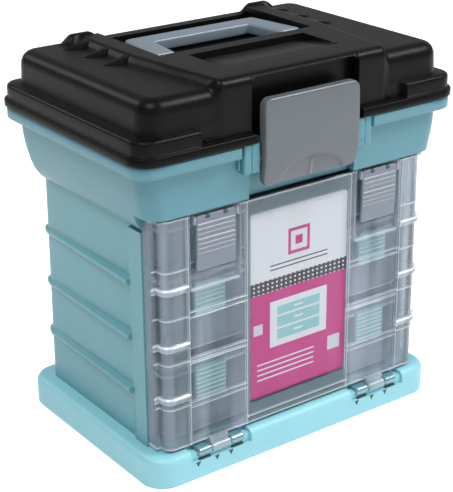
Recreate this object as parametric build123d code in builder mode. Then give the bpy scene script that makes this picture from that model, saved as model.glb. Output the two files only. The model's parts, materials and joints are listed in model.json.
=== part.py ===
"""Craft storage rack: a cabinet of three organiser boxes behind a clear door,
with a bulk tray, a hinged lid and a folding carry handle on top.

Millimetres. X runs left to right, Y front to back, Z up. The origin is on the
ground below the middle of the lid.
"""

import os

from build123d import *

os.makedirs("parts", exist_ok=True)

# Fits between pieces
running_gap = 0.06
loose_gap = 0.3
open_gap = 0.5

# Walls
wall = 2.8

# Organiser boxes: the rest of the rack is built round their size
box_width = 262.0
box_depth = 178.0
box_centre = 1.0
box_wall = 1.8
box_corner = 5.0
box_heights = {"bottom": 70.0, "middle": 70.0, "top": 44.5}
box_lift = 6.0
box_spacing = 9.0
box_lid_height = 8.0
box_flange = 5.0
box_flange_front = 3.0
box_flange_back = 2.0
box_flange_thickness = 2.0
divider_thickness = 1.5
divider_rows = 1
divider_columns = 2

# Box latches
box_latch_width = 32.0
box_latch_height = 32.5
box_latch_depth = 4.0
box_latch_centre = 90.5
box_latch_overlap = 2.5
box_latch_ribs = 7
rib_relief = 0.8

# Base plinth
base_height = 28.0
base_margin = 15.0
base_radius = 22.6
base_rounding = 6.5
base_wall = 3.2
foot_width = 8.0
foot_height = 4.0

# Door hinge in the base
hinge_drop = 4.0
hinge_recess_inner = 58.0
hinge_recess_outer = 122.0
hinge_recess_depth = 10.0
hinge_recess_height = 14.0
barrel_radius = 4.0
barrel_width = 13.5
hinge_rod_radius = 2.6
clip_width = 19.0
clip_side_gap = 1.2
clip_wall = 1.9
hinge_centre = 89.8

# Cabinet shell
cabinet_setback = 10.5
cabinet_side_gap = 3.7
cabinet_back_gap = 1.2
cabinet_radius = 15.0
wall_draft = 2.0
post_depth = 20.5
post_relief = 4.5
band_rises = (47.5, 98.0, 149.0)
band_rise = 2.5
band_drop = 3.6
band_relief_front = 6.0
band_relief_back = 2.8
rail_thickness = 3.0
rail_overlap = 3.5
rail_setback = 5.0

# Top tray
collar_above_boxes = 7.0
tray_floor_thickness = 3.5
tray_depth = 47.0
skirt_drop = 17.0
collar_flare = 16.7
collar_flare_back = 9.0
collar_flare_front = 3.3
collar_radius = 17.0
collar_curve = ((0.0, 1.0), (0.16, 0.49), (0.45, 0.17), (1.0, 0.0))
rim_side_overhang = 8.8
rim_front_overhang = 8.3
rim_band_height = 10.6
rim_band_wall = 3.0

# Lid
lid_overhang = 2.0
lid_radius = 19.5
lid_lip_height = 7.7
lid_lip_overhang = 3.0
lid_wall_height = 12.5
lid_shoulder = 1.5
front_step_half = 108.0
dome_side_inset = 13.5
dome_end_inset = 9.3
dome_height = 29.0
dome_rounding = 12.0
edge_steps = ((1.0, 0.0), (0.293, 0.293), (0.0, 1.0))
plateau_side_margin = 58.5
plateau_front_taper = 14.0
plateau_slope = 8.0
plateau_front_relief = 2.0
plateau_back_margin = 22.0
plateau_height = 6.5
ridge_height = 8.5
ridge_half_base = 24.5
ridge_depth = 14.0
gusset_setbacks = (12.0, 44.0, 76.0)
gusset_width = 8.0
scoop_half_width = 61.0
scoop_front_margin = 33.0
scoop_back_margin = 14.0
scoop_depth = 5.5

# Carry handle and its recess
recess_side_margin = 16.3
recess_depth = 97.0
recess_floor_drop = 8.5
handle_lift = 1.0
handle_thickness = 11.5
handle_side_gap = 1.5
handle_taper = 9.2
handle_leg_width = 23.2
handle_inner_taper = 5.0
handle_tip_gap = 11.5
handle_back_gap = 24.0
handle_grip_depth = 20.0
handle_corner = 12.0
handle_edge = 3.0
handle_stub_radius = 2.5
handle_stub_length = 3.0
handle_boss_width = 5.0

# Rear lid hinge
knuckle_radius = 3.0
lid_pin_radius = 1.5
lid_hinge_setback = 0.2
lid_hinge_centre = 90.0
knuckle_width = 14.0
knuckle_side_gap = 0.4

# Front latch
latch_half_width = 50.0
latch_relief = 3.2
latch_depth = 10.5
latch_below_rim = 39.0
latch_above_rim = 36.0
latch_pivot_drop = 14.0
latch_pivot_inset = 1.6
latch_wall = 2.4
latch_corner = 6.0
latch_slope = 4.0
latch_turn = 9.0
latch_stub_radius = 2.5
latch_stub_length = 9.5
latch_side_gap = 6.5
latch_alcove_depth = 11.0
lug_width = 16.0
lug_relief = 1.8
lug_height = 25.0
thumb_half_width = 34.0
thumb_tip_half_width = 2.0
thumb_rise = 20.0
thumb_sink = 2.0
bead_drop = 12.0
bead_height = 4.0
bead_inset = 4.5

# Clear door
door_wall = 2.2
door_standoff = 6.0
door_side_overlap = 5.0
door_rim_relief = 5.0
door_rim_depth = 12.5
door_corner = 8.0
door_lift = 3.0
door_top_gap = 2.5
door_lip_depth = 4.0
window_inner = 57.0
column_width = 24.0
ridge_relief = 1.2
ridge_width = 2.4
frame_line_rise = 7.0
column_bead_height = 5.0
column_bead_relief = 2.6
column_bead_rises = (50.0, 99.0, 150.5)
window_line_rises = (41.5, 83.0, 125.5)
window_line_height = 4.0
window_line_relief = 1.0
pocket_inner_margin = 7.0
pocket_outer_margin = 3.0
pocket_depth = 3.0
pocket_height = 66.0

# Door latches
door_latch_side_gap = 5.0
door_latch_height = 49.0
door_latch_top_gap = 1.0
door_latch_relief = 2.5
door_latch_stub_radius = 1.5
door_latch_stub_length = 2.0
door_latch_ribs = 6
door_latch_rib_pitch = 5.0
ear_width = 2.6
ear_side_gap = 0.3

# Label card
card_width = 109.0
card_centre = 1.5
card_bottom_gap = 19.0
card_top_gap = 14.0
card_thickness = 0.4
card_radius = 6.0

# Levels that follow from the sizes above
box_levels = {}
next_level = base_height + box_lift
for place, height in box_heights.items():
    box_levels[place] = next_level
    next_level += height + box_spacing
box_stack_top = next_level - box_spacing
collar_low = box_stack_top + collar_above_boxes
tray_floor = collar_low + tray_floor_thickness
rim_top = tray_floor + tray_depth
seam = collar_low - skirt_drop
lid_low = rim_top + loose_gap
lip_top = lid_low + lid_lip_height
dome_low = lip_top + lid_wall_height
dome_top = dome_low + dome_height
plateau_top = dome_top + plateau_height
recess_floor = dome_top - recess_floor_drop
handle_low = recess_floor + handle_lift
handle_top = handle_low + handle_thickness
handle_pivot_z = handle_low + handle_thickness / 2
lid_hinge_z = rim_top + loose_gap / 2
latch_low = rim_top - latch_below_rim
latch_high = rim_top + latch_above_rim
latch_pivot_z = rim_top - latch_pivot_drop
lug_low = rim_top - lug_height
bead_low = latch_high - bead_drop
hinge_z = base_height - hinge_drop
door_low = base_height + door_lift
door_high = collar_low - door_top_gap
pocket_low = door_high - pocket_height
door_latch_high = door_high - door_latch_top_gap
door_latch_low = door_latch_high - door_latch_height

# Plan limits of the boxes and the cabinet
box_front = box_centre - box_depth / 2
box_back = box_centre + box_depth / 2
flange_half = box_width / 2 + box_flange
inner_half = flange_half + cabinet_side_gap
inner_back = box_back + box_flange_back + cabinet_back_gap
outer_half = inner_half + wall
outer_back = inner_back + wall
cabinet_front = box_front + cabinet_setback
post_half = outer_half + post_relief
post_back = cabinet_front + post_depth

# Plan limits of the door and its latches
box_latch_front = box_front - box_flange_front - box_latch_depth
door_front = box_latch_front - door_standoff
door_inner = door_front + door_wall
door_half_width = flange_half + door_side_overlap
door_rim_half_width = door_half_width + door_rim_relief
door_rim_step = cabinet_front - door_rim_depth
door_rim_back = cabinet_front - open_gap
door_lip_back = door_front + door_lip_depth
window_outer = door_half_width - column_width
pocket_inner = window_inner + pocket_inner_margin
pocket_outer = window_outer - pocket_outer_margin
door_latch_centre = (pocket_inner + pocket_outer) / 2
door_latch_half_width = (pocket_outer - pocket_inner) / 2 - door_latch_side_gap
door_latch_front = door_front - door_latch_relief
door_latch_back = door_front + pocket_depth - loose_gap
door_latch_turn = door_latch_back - (door_latch_front + rib_relief) - door_latch_stub_radius
door_latch_pivot_y = door_latch_back - door_latch_turn
door_latch_pivot_z = door_latch_high - door_latch_turn

# Plan limits of the base
hinge_y = door_front - hinge_drop
hinge_recess_back = hinge_y + hinge_recess_depth
base_half = outer_half + wall_draft + base_margin
base_front = hinge_y - barrel_radius
base_back = outer_back + base_margin

# Plan limits of the collar, its rim and the lid
collar_half_width = outer_half + collar_flare
collar_half_depth = outer_back + collar_flare_back
rim_half = collar_half_width + rim_side_overhang
rim_half_depth = collar_half_depth + rim_front_overhang
lid_half = rim_half + lid_overhang
lid_half_depth = rim_half_depth + lid_overhang
lid_hinge_y = lid_half_depth + lid_hinge_setback
knuckle_offset = (knuckle_width + knuckle_side_gap) / 2
pin_half_length = knuckle_width + knuckle_side_gap / 2
knuckle_room = knuckle_width / 2 + knuckle_side_gap
skirt_half = lid_half - lid_lip_overhang
skirt_half_depth = lid_half_depth - lid_lip_overhang
dome_half_width = lid_half - dome_side_inset
dome_half_depth = lid_half_depth - dome_end_inset
plateau_half = dome_half_width - plateau_side_margin
plateau_front_half = plateau_half - plateau_front_taper
plateau_front = -dome_half_depth - plateau_front_relief
plateau_back = dome_half_depth - plateau_back_margin

# Plan limits of the handle, its recess and the scoop
recess_half_width = plateau_half - recess_side_margin
recess_back = plateau_back
recess_front = recess_back - recess_depth
handle_tip_half = recess_half_width - handle_side_gap
handle_back_half = handle_tip_half - handle_taper
handle_inner_front = handle_tip_half - handle_leg_width
handle_inner_back = handle_inner_front - handle_inner_taper
handle_tip = recess_front + handle_tip_gap
handle_grip_back = recess_back - handle_back_gap
handle_grip_front = handle_grip_back - handle_grip_depth
handle_pivot_y = handle_tip + handle_thickness / 2
scoop_front = plateau_front + scoop_front_margin
scoop_back = recess_front - scoop_back_margin

# Plan limits of the front latch
latch_front = -lid_half_depth - latch_relief
latch_back = latch_front + latch_depth
latch_pivot_y = latch_back - latch_pivot_inset
latch_pocket_half = latch_half_width + latch_side_gap
latch_alcove_back = latch_back + latch_alcove_depth
lug_inner = latch_half_width + latch_corner / 3
lug_outer = lug_inner + lug_width
lug_front = lug_relief - lid_half_depth
bead_front = latch_back + bead_inset


def outline(level, half_width, front, back, radius):
    """Rounded plan outline at one level"""
    with BuildSketch(Plane.XY.offset(level)) as plan:
        with Locations((0, (front + back) / 2)):
            RectangleRounded(2 * half_width, back - front, radius)
    return plan.sketch


def rounded_block(half_width, front, back, radius, low, high, mode=Mode.ADD):
    """Upright block with rounded corners, centred across the part"""
    extrude(outline(low, half_width, front, back, radius), amount=high - low, mode=mode)


def rounded_top(half_width, front, back, radius, low, high, rounding, mode=Mode.ADD):
    """Upright block with rounded corners whose top edge turns over in flat steps"""
    sections = [outline(low, half_width, front, back, radius)]
    for sink, draw_in in edge_steps:
        inset = rounding * draw_in
        level = high - rounding * sink
        sections.append(outline(level, half_width - inset, front + inset, back - inset, radius - inset))
    loft(sections, ruled=True, mode=mode)


def block(left, right, front, back, low, high, mode=Mode.ADD):
    """Upright block between six limits"""
    with Locations((left, front, low)):
        Box(right - left, back - front, high - low, align=(Align.MIN, Align.MIN, Align.MIN), mode=mode)


def pair_of_blocks(inner, outer, front, back, low, high, mode=Mode.ADD):
    """Two upright blocks, alike on the left and the right"""
    block(-outer, -inner, front, back, low, high, mode)
    block(inner, outer, front, back, low, high, mode)


def cross_rod(left, right, y, z, radius, mode=Mode.ADD):
    """Round rod that runs across the part"""
    with Locations(Location((left, y, z), (0, 90, 0))):
        Cylinder(radius, right - left, align=(Align.CENTER, Align.CENTER, Align.MIN), mode=mode)


def pair_of_rods(inner, outer, y, z, radius, mode=Mode.ADD):
    """Two cross rods, alike on the left and the right"""
    cross_rod(-outer, -inner, y, z, radius, mode)
    cross_rod(inner, outer, y, z, radius, mode)


def side_profile(points, left, right, mode=Mode.ADD):
    """Solid between two sides of a profile drawn in Y and Z"""
    with BuildSketch(Plane.YZ.offset(left)) as profile:
        Polygon(*points, align=None)
    extrude(profile.sketch, amount=right - left, dir=(1, 0, 0), mode=mode)


def front_profile(points, front, back, mode=Mode.ADD):
    """Solid between two depths of a profile drawn in X and Z"""
    with BuildSketch(Plane.XZ.offset(-front)) as profile:
        Polygon(*points, align=None)
    extrude(profile.sketch, amount=back - front, dir=(0, 1, 0), mode=mode)


def publish(piece, name):
    """Name a finished piece and write it to its own file"""
    piece.part.label = name
    export_step(piece.part, f"parts/{name}.step")


# Base plinth: rounded foot, hollow below, with two hinge recesses in its front
with BuildPart() as base_plinth:
    rounded_top(base_half, base_front, base_back, base_radius, 0, base_height, base_rounding)
    rounded_block(
        base_half - foot_width,
        base_front + foot_width,
        base_back - foot_width,
        base_radius - foot_width,
        0,
        foot_height,
        Mode.SUBTRACT,
    )
    rounded_block(
        base_half - base_wall,
        base_front + base_wall,
        base_back - base_wall,
        base_radius - base_wall,
        foot_height,
        base_height - base_wall,
        Mode.SUBTRACT,
    )
    # Closed pocket round each hinge, then the recess itself, open to the front and the top
    pair_of_blocks(
        hinge_recess_inner - base_wall,
        hinge_recess_outer + base_wall,
        base_front + base_wall / 2,
        hinge_recess_back + base_wall,
        hinge_recess_height - base_wall,
        base_height - base_wall / 2,
    )
    pair_of_blocks(
        hinge_recess_inner,
        hinge_recess_outer,
        base_front - base_wall,
        hinge_recess_back,
        hinge_recess_height,
        base_height + base_wall,
        Mode.SUBTRACT,
    )
    # Hinge rod between two fat barrels, each barrel on a web from the recess wall
    barrel_inner = clip_width / 2 + clip_side_gap
    for centre in (-hinge_centre, hinge_centre):
        cross_rod(
            centre - barrel_inner - barrel_width,
            centre + barrel_inner + barrel_width,
            hinge_y,
            hinge_z,
            hinge_rod_radius,
        )
        for side in (-1, 1):
            near = centre + side * barrel_inner
            far = near + side * barrel_width
            cross_rod(min(near, far), max(near, far), hinge_y, hinge_z, barrel_radius)
            block(
                min(near, far),
                max(near, far),
                hinge_y,
                hinge_recess_back,
                hinge_z - barrel_radius,
                hinge_z + barrel_radius,
            )
publish(base_plinth, "base_plinth")


def shell_outline(level, front_half, back_half, front, back, radius):
    """Plan outline of the cabinet: straight front, rounded back corners"""
    corners = [(-front_half, front), (front_half, front), (back_half, back), (-back_half, back)]
    with BuildSketch(Plane.XY.offset(level)) as plan:
        Polygon(*corners, align=None)
        fillet(plan.vertices().group_by(Axis.Y)[-1], radius)
    return plan.sketch


# Cabinet shell: drafted walls, three raised bands, front posts and slide rails
with BuildPart() as cabinet_shell:
    low_half = outer_half + wall_draft
    low_back = outer_back + wall_draft
    loft(
        [
            shell_outline(base_height, low_half, low_half, cabinet_front, low_back, cabinet_radius),
            shell_outline(seam, outer_half, outer_half, cabinet_front, outer_back, cabinet_radius),
        ],
        ruled=True,
    )
    root_half = outer_half - wall / 2
    root_back = outer_back - wall / 2
    for rise in band_rises:
        level = base_height + rise
        loft(
            [
                shell_outline(level - band_drop, root_half, root_half, post_back, root_back, cabinet_radius),
                shell_outline(
                    level,
                    outer_half + band_relief_front,
                    outer_half + band_relief_back,
                    post_back,
                    outer_back + band_relief_back,
                    cabinet_radius,
                ),
                shell_outline(level + band_rise, root_half, root_half, post_back, root_back, cabinet_radius),
            ],
            ruled=True,
        )
    pair_of_blocks(inner_half, post_half, cabinet_front, post_back, base_height, seam)
    extrude(
        shell_outline(
            base_height, inner_half, inner_half, cabinet_front - wall, inner_back, cabinet_radius - wall
        ),
        amount=seam - base_height,
        mode=Mode.SUBTRACT,
    )
    # Slide rails that carry the flange of each box
    for place, level in box_levels.items():
        rail_top = level + box_heights[place] - box_lid_height - box_flange_thickness - loose_gap
        pair_of_blocks(
            flange_half - rail_overlap,
            inner_half + wall / 2,
            cabinet_front,
            box_back - rail_setback,
            rail_top - rail_thickness,
            rail_top,
        )
publish(cabinet_shell, "cabinet_shell")


def collar_solid(low, high, inset, mode=Mode.ADD):
    """Flared collar between two levels, its curve drawn in by an inset"""
    sections = []
    for share, curve in collar_curve:
        sections.append(
            outline(
                low + share * (high - low),
                collar_half_width - inset - curve * collar_flare,
                inset + curve * collar_flare_front - collar_half_depth,
                collar_half_depth - inset - curve * collar_flare_back,
                collar_radius - inset,
            )
        )
    loft(sections, ruled=True, mode=mode)


def tray_hollow():
    """Space inside the collar above the tray's floor"""
    with BuildPart() as hollow:
        collar_solid(seam, rim_top, wall)
        split(bisect_by=Plane.XY.offset(tray_floor), keep=Keep.TOP)
    return hollow.part


def rim_groove():
    """Space between the collar and its turned-down rim, open downwards"""
    with BuildPart() as groove:
        rounded_block(
            rim_half - rim_band_wall,
            rim_band_wall - rim_half_depth,
            rim_half_depth - rim_band_wall,
            collar_radius - rim_band_wall,
            rim_top - rim_band_height,
            rim_top - rim_band_wall,
        )
        rounded_block(
            collar_half_width,
            -collar_half_depth,
            collar_half_depth,
            collar_radius,
            rim_top - rim_band_height,
            rim_top - rim_band_wall,
            Mode.SUBTRACT,
        )
    return groove.part


# Top tray: flared collar with a turned-down rim, a floor, latch lugs and hinge knuckles
with BuildPart() as top_tray:
    collar_solid(seam, rim_top, 0)
    rounded_block(rim_half, -rim_half_depth, rim_half_depth, collar_radius, rim_top - rim_band_height, rim_top)
    add(rim_groove(), mode=Mode.SUBTRACT)
    add(tray_hollow(), mode=Mode.SUBTRACT)
    # Headroom of the cabinet below the floor, and the open front over the door
    extrude(
        shell_outline(seam, inner_half, inner_half, cabinet_front - wall, inner_back, cabinet_radius - wall),
        amount=collar_low - seam,
        mode=Mode.SUBTRACT,
    )
    block(-rim_half, rim_half, -rim_half_depth, cabinet_front, seam, collar_low, Mode.SUBTRACT)
    # Alcove for the front latch, with its own back wall, and the gap in the rim
    block(-lug_outer, lug_outer, -rim_half_depth, -collar_half_depth, collar_low, rim_top, Mode.SUBTRACT)
    block(
        -latch_pocket_half - wall,
        latch_pocket_half + wall,
        -collar_half_depth,
        latch_alcove_back + wall,
        collar_low,
        rim_top,
    )
    block(
        -latch_pocket_half,
        latch_pocket_half,
        -rim_half_depth,
        latch_alcove_back,
        collar_low,
        rim_top,
        Mode.SUBTRACT,
    )
    pair_of_blocks(latch_pocket_half, lug_outer, lug_front, wall - collar_half_depth, lug_low, rim_top)
    pair_of_blocks(lug_inner, latch_pocket_half, lug_front, wall - collar_half_depth, lug_low, rim_top)
    pair_of_rods(
        lug_inner,
        latch_half_width + latch_stub_length + loose_gap,
        latch_pivot_y,
        latch_pivot_z,
        latch_stub_radius + running_gap,
        Mode.SUBTRACT,
    )
    # Rear hinges: a knuckle of the tray outside one of the lid's, with room for the lid's
    for side in (-1, 1):
        centre = side * lid_hinge_centre
        lid_knuckle = centre - side * knuckle_offset
        tray_knuckle = centre + side * knuckle_offset
        block(
            lid_knuckle - knuckle_room,
            lid_knuckle + knuckle_room,
            lid_hinge_y - knuckle_radius - loose_gap,
            lid_hinge_y,
            lid_hinge_z - knuckle_radius - loose_gap,
            rim_top,
            Mode.SUBTRACT,
        )
        cross_rod(
            tray_knuckle - knuckle_width / 2,
            tray_knuckle + knuckle_width / 2,
            lid_hinge_y,
            lid_hinge_z,
            knuckle_radius,
        )
        cross_rod(
            centre - pin_half_length,
            centre + pin_half_length,
            lid_hinge_y,
            lid_hinge_z,
            lid_pin_radius + running_gap,
            Mode.SUBTRACT,
        )
publish(top_tray, "top_tray")

# Lid hinge pins: one in each rear hinge
with BuildPart() as lid_hinge_pins:
    for centre in (-lid_hinge_centre, lid_hinge_centre):
        cross_rod(centre - pin_half_length, centre + pin_half_length, lid_hinge_y, lid_hinge_z, lid_pin_radius)
publish(lid_hinge_pins, "lid_hinge_pins")

def raised_middle():
    """Middle of the lid: wider at mid depth than at the front, with sloping sides"""
    crest = [
        (-plateau_front_half, plateau_front),
        (plateau_front_half, plateau_front),
        (plateau_half, handle_tip),
        (plateau_half, plateau_back),
        (-plateau_half, plateau_back),
        (-plateau_half, handle_tip),
    ]
    foot = [(x + (plateau_slope if x > 0 else -plateau_slope), y) for x, y in crest]
    with BuildPart() as middle:
        with BuildSketch(Plane.XY.offset(lip_top)) as lower_plan:
            Polygon(*foot, align=None)
        with BuildSketch(Plane.XY.offset(dome_top)) as middle_plan:
            Polygon(*foot, align=None)
        with BuildSketch(Plane.XY.offset(plateau_top)) as upper_plan:
            Polygon(*crest, align=None)
        loft([lower_plan.sketch, middle_plan.sketch, upper_plan.sketch], ruled=True)
        fillet(middle.faces().sort_by(Axis.Z)[-1].edges().group_by(Axis.Y)[0], plateau_height)
    return middle.part


# Lid: lipped skirt, dome, raised middle, gussets, latch pocket, handle recess and scoop
with BuildPart() as lid:
    rounded_block(lid_half, -lid_half_depth, lid_half_depth, lid_radius, lid_low, lip_top)
    rounded_block(
        skirt_half, -skirt_half_depth, skirt_half_depth, lid_radius - lid_lip_overhang, lip_top, dome_low
    )
    # The skirt stops short of the latch: the front face steps back to the dome there
    block(
        -front_step_half,
        front_step_half,
        -lid_half_depth,
        -dome_half_depth,
        lip_top,
        dome_low,
        Mode.SUBTRACT,
    )
    rounded_top(
        dome_half_width,
        -dome_half_depth,
        dome_half_depth,
        lid_radius - lid_shoulder,
        dome_low - wall,
        dome_top,
        dome_rounding,
    )
    add(raised_middle())
    # Rear ridges and side gussets beside the handle recess
    for side in (-1, 1):
        front_profile(
            [
                (side * (plateau_half - ridge_half_base), dome_top - wall),
                (side * plateau_half, dome_top + ridge_height),
                (side * (plateau_half + ridge_half_base), dome_top - wall),
            ],
            plateau_back,
            plateau_back + ridge_depth,
        )
        for setback in gusset_setbacks:
            front_profile(
                [
                    (side * (plateau_half - plateau_slope), dome_top - wall),
                    (side * (plateau_half - plateau_slope), plateau_top - loose_gap),
                    (side * plateau_half, plateau_top - loose_gap),
                    (side * (plateau_half + ridge_half_base), dome_top - wall),
                ],
                plateau_back - setback - gusset_width / 2,
                plateau_back - setback + gusset_width / 2,
            )
    # Hollow inside: the lip, the skirt behind the front step, then the dome
    rounded_block(
        skirt_half - wall,
        wall - skirt_half_depth,
        skirt_half_depth - wall,
        lid_radius - lid_lip_overhang - wall,
        lid_low,
        lip_top - wall,
        Mode.SUBTRACT,
    )
    rounded_block(
        skirt_half - wall,
        wall - dome_half_depth,
        skirt_half_depth - wall,
        lid_radius - lid_lip_overhang - wall,
        lip_top - wall,
        dome_low - wall,
        Mode.SUBTRACT,
    )
    rounded_top(
        dome_half_width - wall,
        wall - dome_half_depth,
        dome_half_depth - wall,
        lid_radius - lid_shoulder - wall,
        lip_top - wall,
        dome_top - wall,
        dome_rounding - wall,
        Mode.SUBTRACT,
    )
    # Handle recess: its pan, then the recess and the bores for the handle's stubs
    block(
        -recess_half_width - handle_boss_width,
        recess_half_width + handle_boss_width,
        recess_front - wall,
        recess_back + wall,
        recess_floor - wall,
        dome_top,
    )
    block(
        -recess_half_width,
        recess_half_width,
        recess_front,
        recess_back,
        recess_floor,
        dome_top + ridge_height + wall,
        Mode.SUBTRACT,
    )
    cross_rod(
        -handle_tip_half - handle_stub_length - loose_gap,
        handle_tip_half + handle_stub_length + loose_gap,
        handle_pivot_y,
        handle_pivot_z,
        handle_stub_radius + running_gap,
        Mode.SUBTRACT,
    )
    # Finger scoop in the raised middle: deep at the back, running out to the front
    side_profile(
        [
            (scoop_back, plateau_top - scoop_depth),
            (scoop_back, plateau_top + wall),
            (scoop_front, plateau_top + wall),
            (scoop_front, plateau_top),
        ],
        -scoop_half_width,
        scoop_half_width,
        Mode.SUBTRACT,
    )
    # Latch pocket: its walls, the pocket, and the bead that the latch snaps over
    block(
        -latch_pocket_half - wall,
        latch_pocket_half + wall,
        wall - skirt_half_depth,
        latch_alcove_back - loose_gap + wall,
        lid_low,
        lip_top,
    )
    block(
        -latch_pocket_half - wall,
        latch_pocket_half + wall,
        -dome_half_depth,
        latch_alcove_back - loose_gap + wall,
        lip_top,
        dome_top - wall,
    )
    block(
        -latch_pocket_half,
        latch_pocket_half,
        -lid_half_depth - wall,
        latch_alcove_back - loose_gap,
        lid_low,
        plateau_top - wall,
        Mode.SUBTRACT,
    )
    side_profile(
        [
            (latch_alcove_back, bead_low - bead_height),
            (bead_front, bead_low),
            (bead_front, bead_low + bead_height),
            (latch_alcove_back, bead_low + bead_height),
        ],
        -latch_half_width + latch_corner,
        latch_half_width - latch_corner,
    )
    # Rear hinges: room for the tray's knuckles, then the lid's own knuckles
    for side in (-1, 1):
        centre = side * lid_hinge_centre
        lid_knuckle = centre - side * knuckle_offset
        tray_knuckle = centre + side * knuckle_offset
        block(
            tray_knuckle - knuckle_room,
            tray_knuckle + knuckle_room,
            lid_hinge_y - knuckle_radius - loose_gap,
            lid_hinge_y,
            lid_low,
            lid_hinge_z + knuckle_radius + loose_gap,
            Mode.SUBTRACT,
        )
        cross_rod(
            lid_knuckle - knuckle_width / 2,
            lid_knuckle + knuckle_width / 2,
            lid_hinge_y,
            lid_hinge_z,
            knuckle_radius,
        )
        cross_rod(
            lid_knuckle - knuckle_room,
            lid_knuckle + knuckle_room,
            lid_hinge_y,
            lid_hinge_z,
            lid_pin_radius + running_gap,
            Mode.SUBTRACT,
        )
publish(lid, "lid")

# Carry handle: flat U with bevelled edges and round tips, on two stubs
with BuildPart() as carry_handle:
    with BuildSketch(Plane.XY.offset(handle_low)) as handle_plan:
        Polygon(
            (-handle_tip_half, handle_tip),
            (-handle_inner_front, handle_tip),
            (-handle_inner_back, handle_grip_front),
            (handle_inner_back, handle_grip_front),
            (handle_inner_front, handle_tip),
            (handle_tip_half, handle_tip),
            (handle_back_half, handle_grip_back),
            (-handle_back_half, handle_grip_back),
            align=None,
        )
        fillet(handle_plan.vertices().group_by(Axis.Y)[-1], handle_corner)
    extrude(handle_plan.sketch, amount=handle_thickness)
    chamfer(carry_handle.faces().sort_by(Axis.Z)[-1].edges(), handle_edge)
    with BuildSketch(Plane.YZ.offset(-handle_tip_half)) as handle_side:
        Polygon(
            (handle_tip, handle_low),
            (handle_tip, handle_top),
            (handle_grip_back, handle_top),
            (handle_grip_back, handle_low),
            align=None,
        )
        fillet(handle_side.vertices().group_by(Axis.X)[0], handle_thickness / 2 - running_gap)
    extrude(handle_side.sketch, amount=2 * handle_tip_half, dir=(1, 0, 0), mode=Mode.INTERSECT)
    pair_of_rods(
        handle_inner_front + handle_edge,
        handle_tip_half + handle_stub_length,
        handle_pivot_y,
        handle_pivot_z,
        handle_stub_radius,
    )
publish(carry_handle, "carry_handle")


def thumb_section(level, half_width, surface, sink):
    """Plan of the thumb scoop at one level: two facets that meet on the centre line"""
    with BuildSketch(Plane.XY.offset(level)) as plan:
        Polygon(
            (-half_width, latch_front - latch_wall),
            (half_width, latch_front - latch_wall),
            (half_width, surface),
            (0, surface + sink),
            (-half_width, surface),
            align=None,
        )
    return plan.sketch


# Front latch: shell open at the back, with a catch, two stubs and a thumb scoop
with BuildPart() as front_latch:
    side_profile(
        [
            (latch_back, latch_low + latch_turn),
            (latch_back, latch_high),
            (latch_front + latch_slope, latch_high),
            (latch_front, latch_high - latch_slope),
            (latch_front, latch_pivot_z),
            (latch_front + latch_slope / 4, (latch_pivot_z + latch_low) / 2),
            (latch_front + latch_slope, latch_low),
            (latch_front + latch_slope + latch_wall, latch_low),
        ],
        -latch_half_width,
        latch_half_width,
    )
    fillet(front_latch.edges().filter_by(Axis.Y).group_by(Axis.Z)[-1], latch_corner)
    block(
        latch_wall - latch_half_width,
        latch_half_width - latch_wall,
        latch_front + latch_slope + latch_wall,
        latch_back,
        latch_low + latch_turn,
        latch_high - latch_slope - latch_wall,
        Mode.SUBTRACT,
    )
    # Catch that snaps over the lid's bead
    block(
        -latch_half_width + 2 * latch_corner,
        latch_half_width - 2 * latch_corner,
        latch_front + latch_slope,
        bead_front - loose_gap,
        bead_low,
        bead_low + bead_height,
    )
    pair_of_rods(
        latch_half_width - latch_wall,
        latch_half_width + latch_stub_length,
        latch_pivot_y,
        latch_pivot_z,
        latch_stub_radius,
    )
    pair_of_blocks(
        latch_half_width - 2 * latch_wall,
        latch_half_width - latch_wall,
        latch_front + latch_wall,
        latch_pivot_y + latch_stub_radius - latch_wall / 2,
        latch_pivot_z - 2 * latch_stub_radius,
        latch_pivot_z + 2 * latch_stub_radius,
    )
    # Fan-shaped thumb scoop at the foot
    loft(
        [
            thumb_section(latch_low, thumb_half_width, latch_front + latch_slope, thumb_sink),
            thumb_section(latch_low + thumb_rise, thumb_tip_half_width, latch_front, running_gap),
        ],
        ruled=True,
        mode=Mode.SUBTRACT,
    )
publish(front_latch, "front_latch")


def door_outline(inset, back):
    """Plan of the door: flat front, rounded corners and a wider rim at the back"""
    half = door_half_width - inset
    rim_half_width = door_rim_half_width - inset
    front = door_front + inset
    with BuildSketch(Plane.XY.offset(door_low)) as plan:
        Polygon(
            (-half, front),
            (half, front),
            (half, door_rim_step + inset),
            (rim_half_width, door_rim_step + inset),
            (rim_half_width, back),
            (-rim_half_width, back),
            (-rim_half_width, door_rim_step + inset),
            (-half, door_rim_step + inset),
            align=None,
        )
        fillet(plan.vertices().group_by(Axis.Y)[0], door_corner - inset)
    return plan.sketch


def door_hollow():
    """Space inside the door, open at the back, above a short lip along the bottom"""
    with BuildPart() as hollow:
        extrude(door_outline(door_wall, cabinet_front), amount=door_high - door_low)
        split(bisect_by=Plane.XY.offset(door_high - door_wall), keep=Keep.BOTTOM)
        block(
            -door_half_width,
            door_half_width,
            door_front,
            door_lip_back,
            door_low,
            door_low + door_wall,
            Mode.SUBTRACT,
        )
    return hollow.part


def column_bead(level):
    """Raised bead round both corner columns of the door, at one level"""
    with BuildPart() as bead:
        with BuildSketch(Plane.XY.offset(level - column_bead_height / 2)) as bead_plan:
            with Locations((0, (door_front - column_bead_relief + door_rim_step) / 2)):
                Rectangle(
                    2 * (door_half_width + column_bead_relief),
                    door_rim_step - door_front + column_bead_relief,
                )
            fillet(bead_plan.vertices().group_by(Axis.Y)[0], door_corner)
        extrude(bead_plan.sketch, amount=column_bead_height)
        block(
            -window_outer,
            window_outer,
            door_front - column_bead_relief,
            door_rim_step,
            level - column_bead_height,
            level + column_bead_height,
            Mode.SUBTRACT,
        )
    return bead.part


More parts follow.
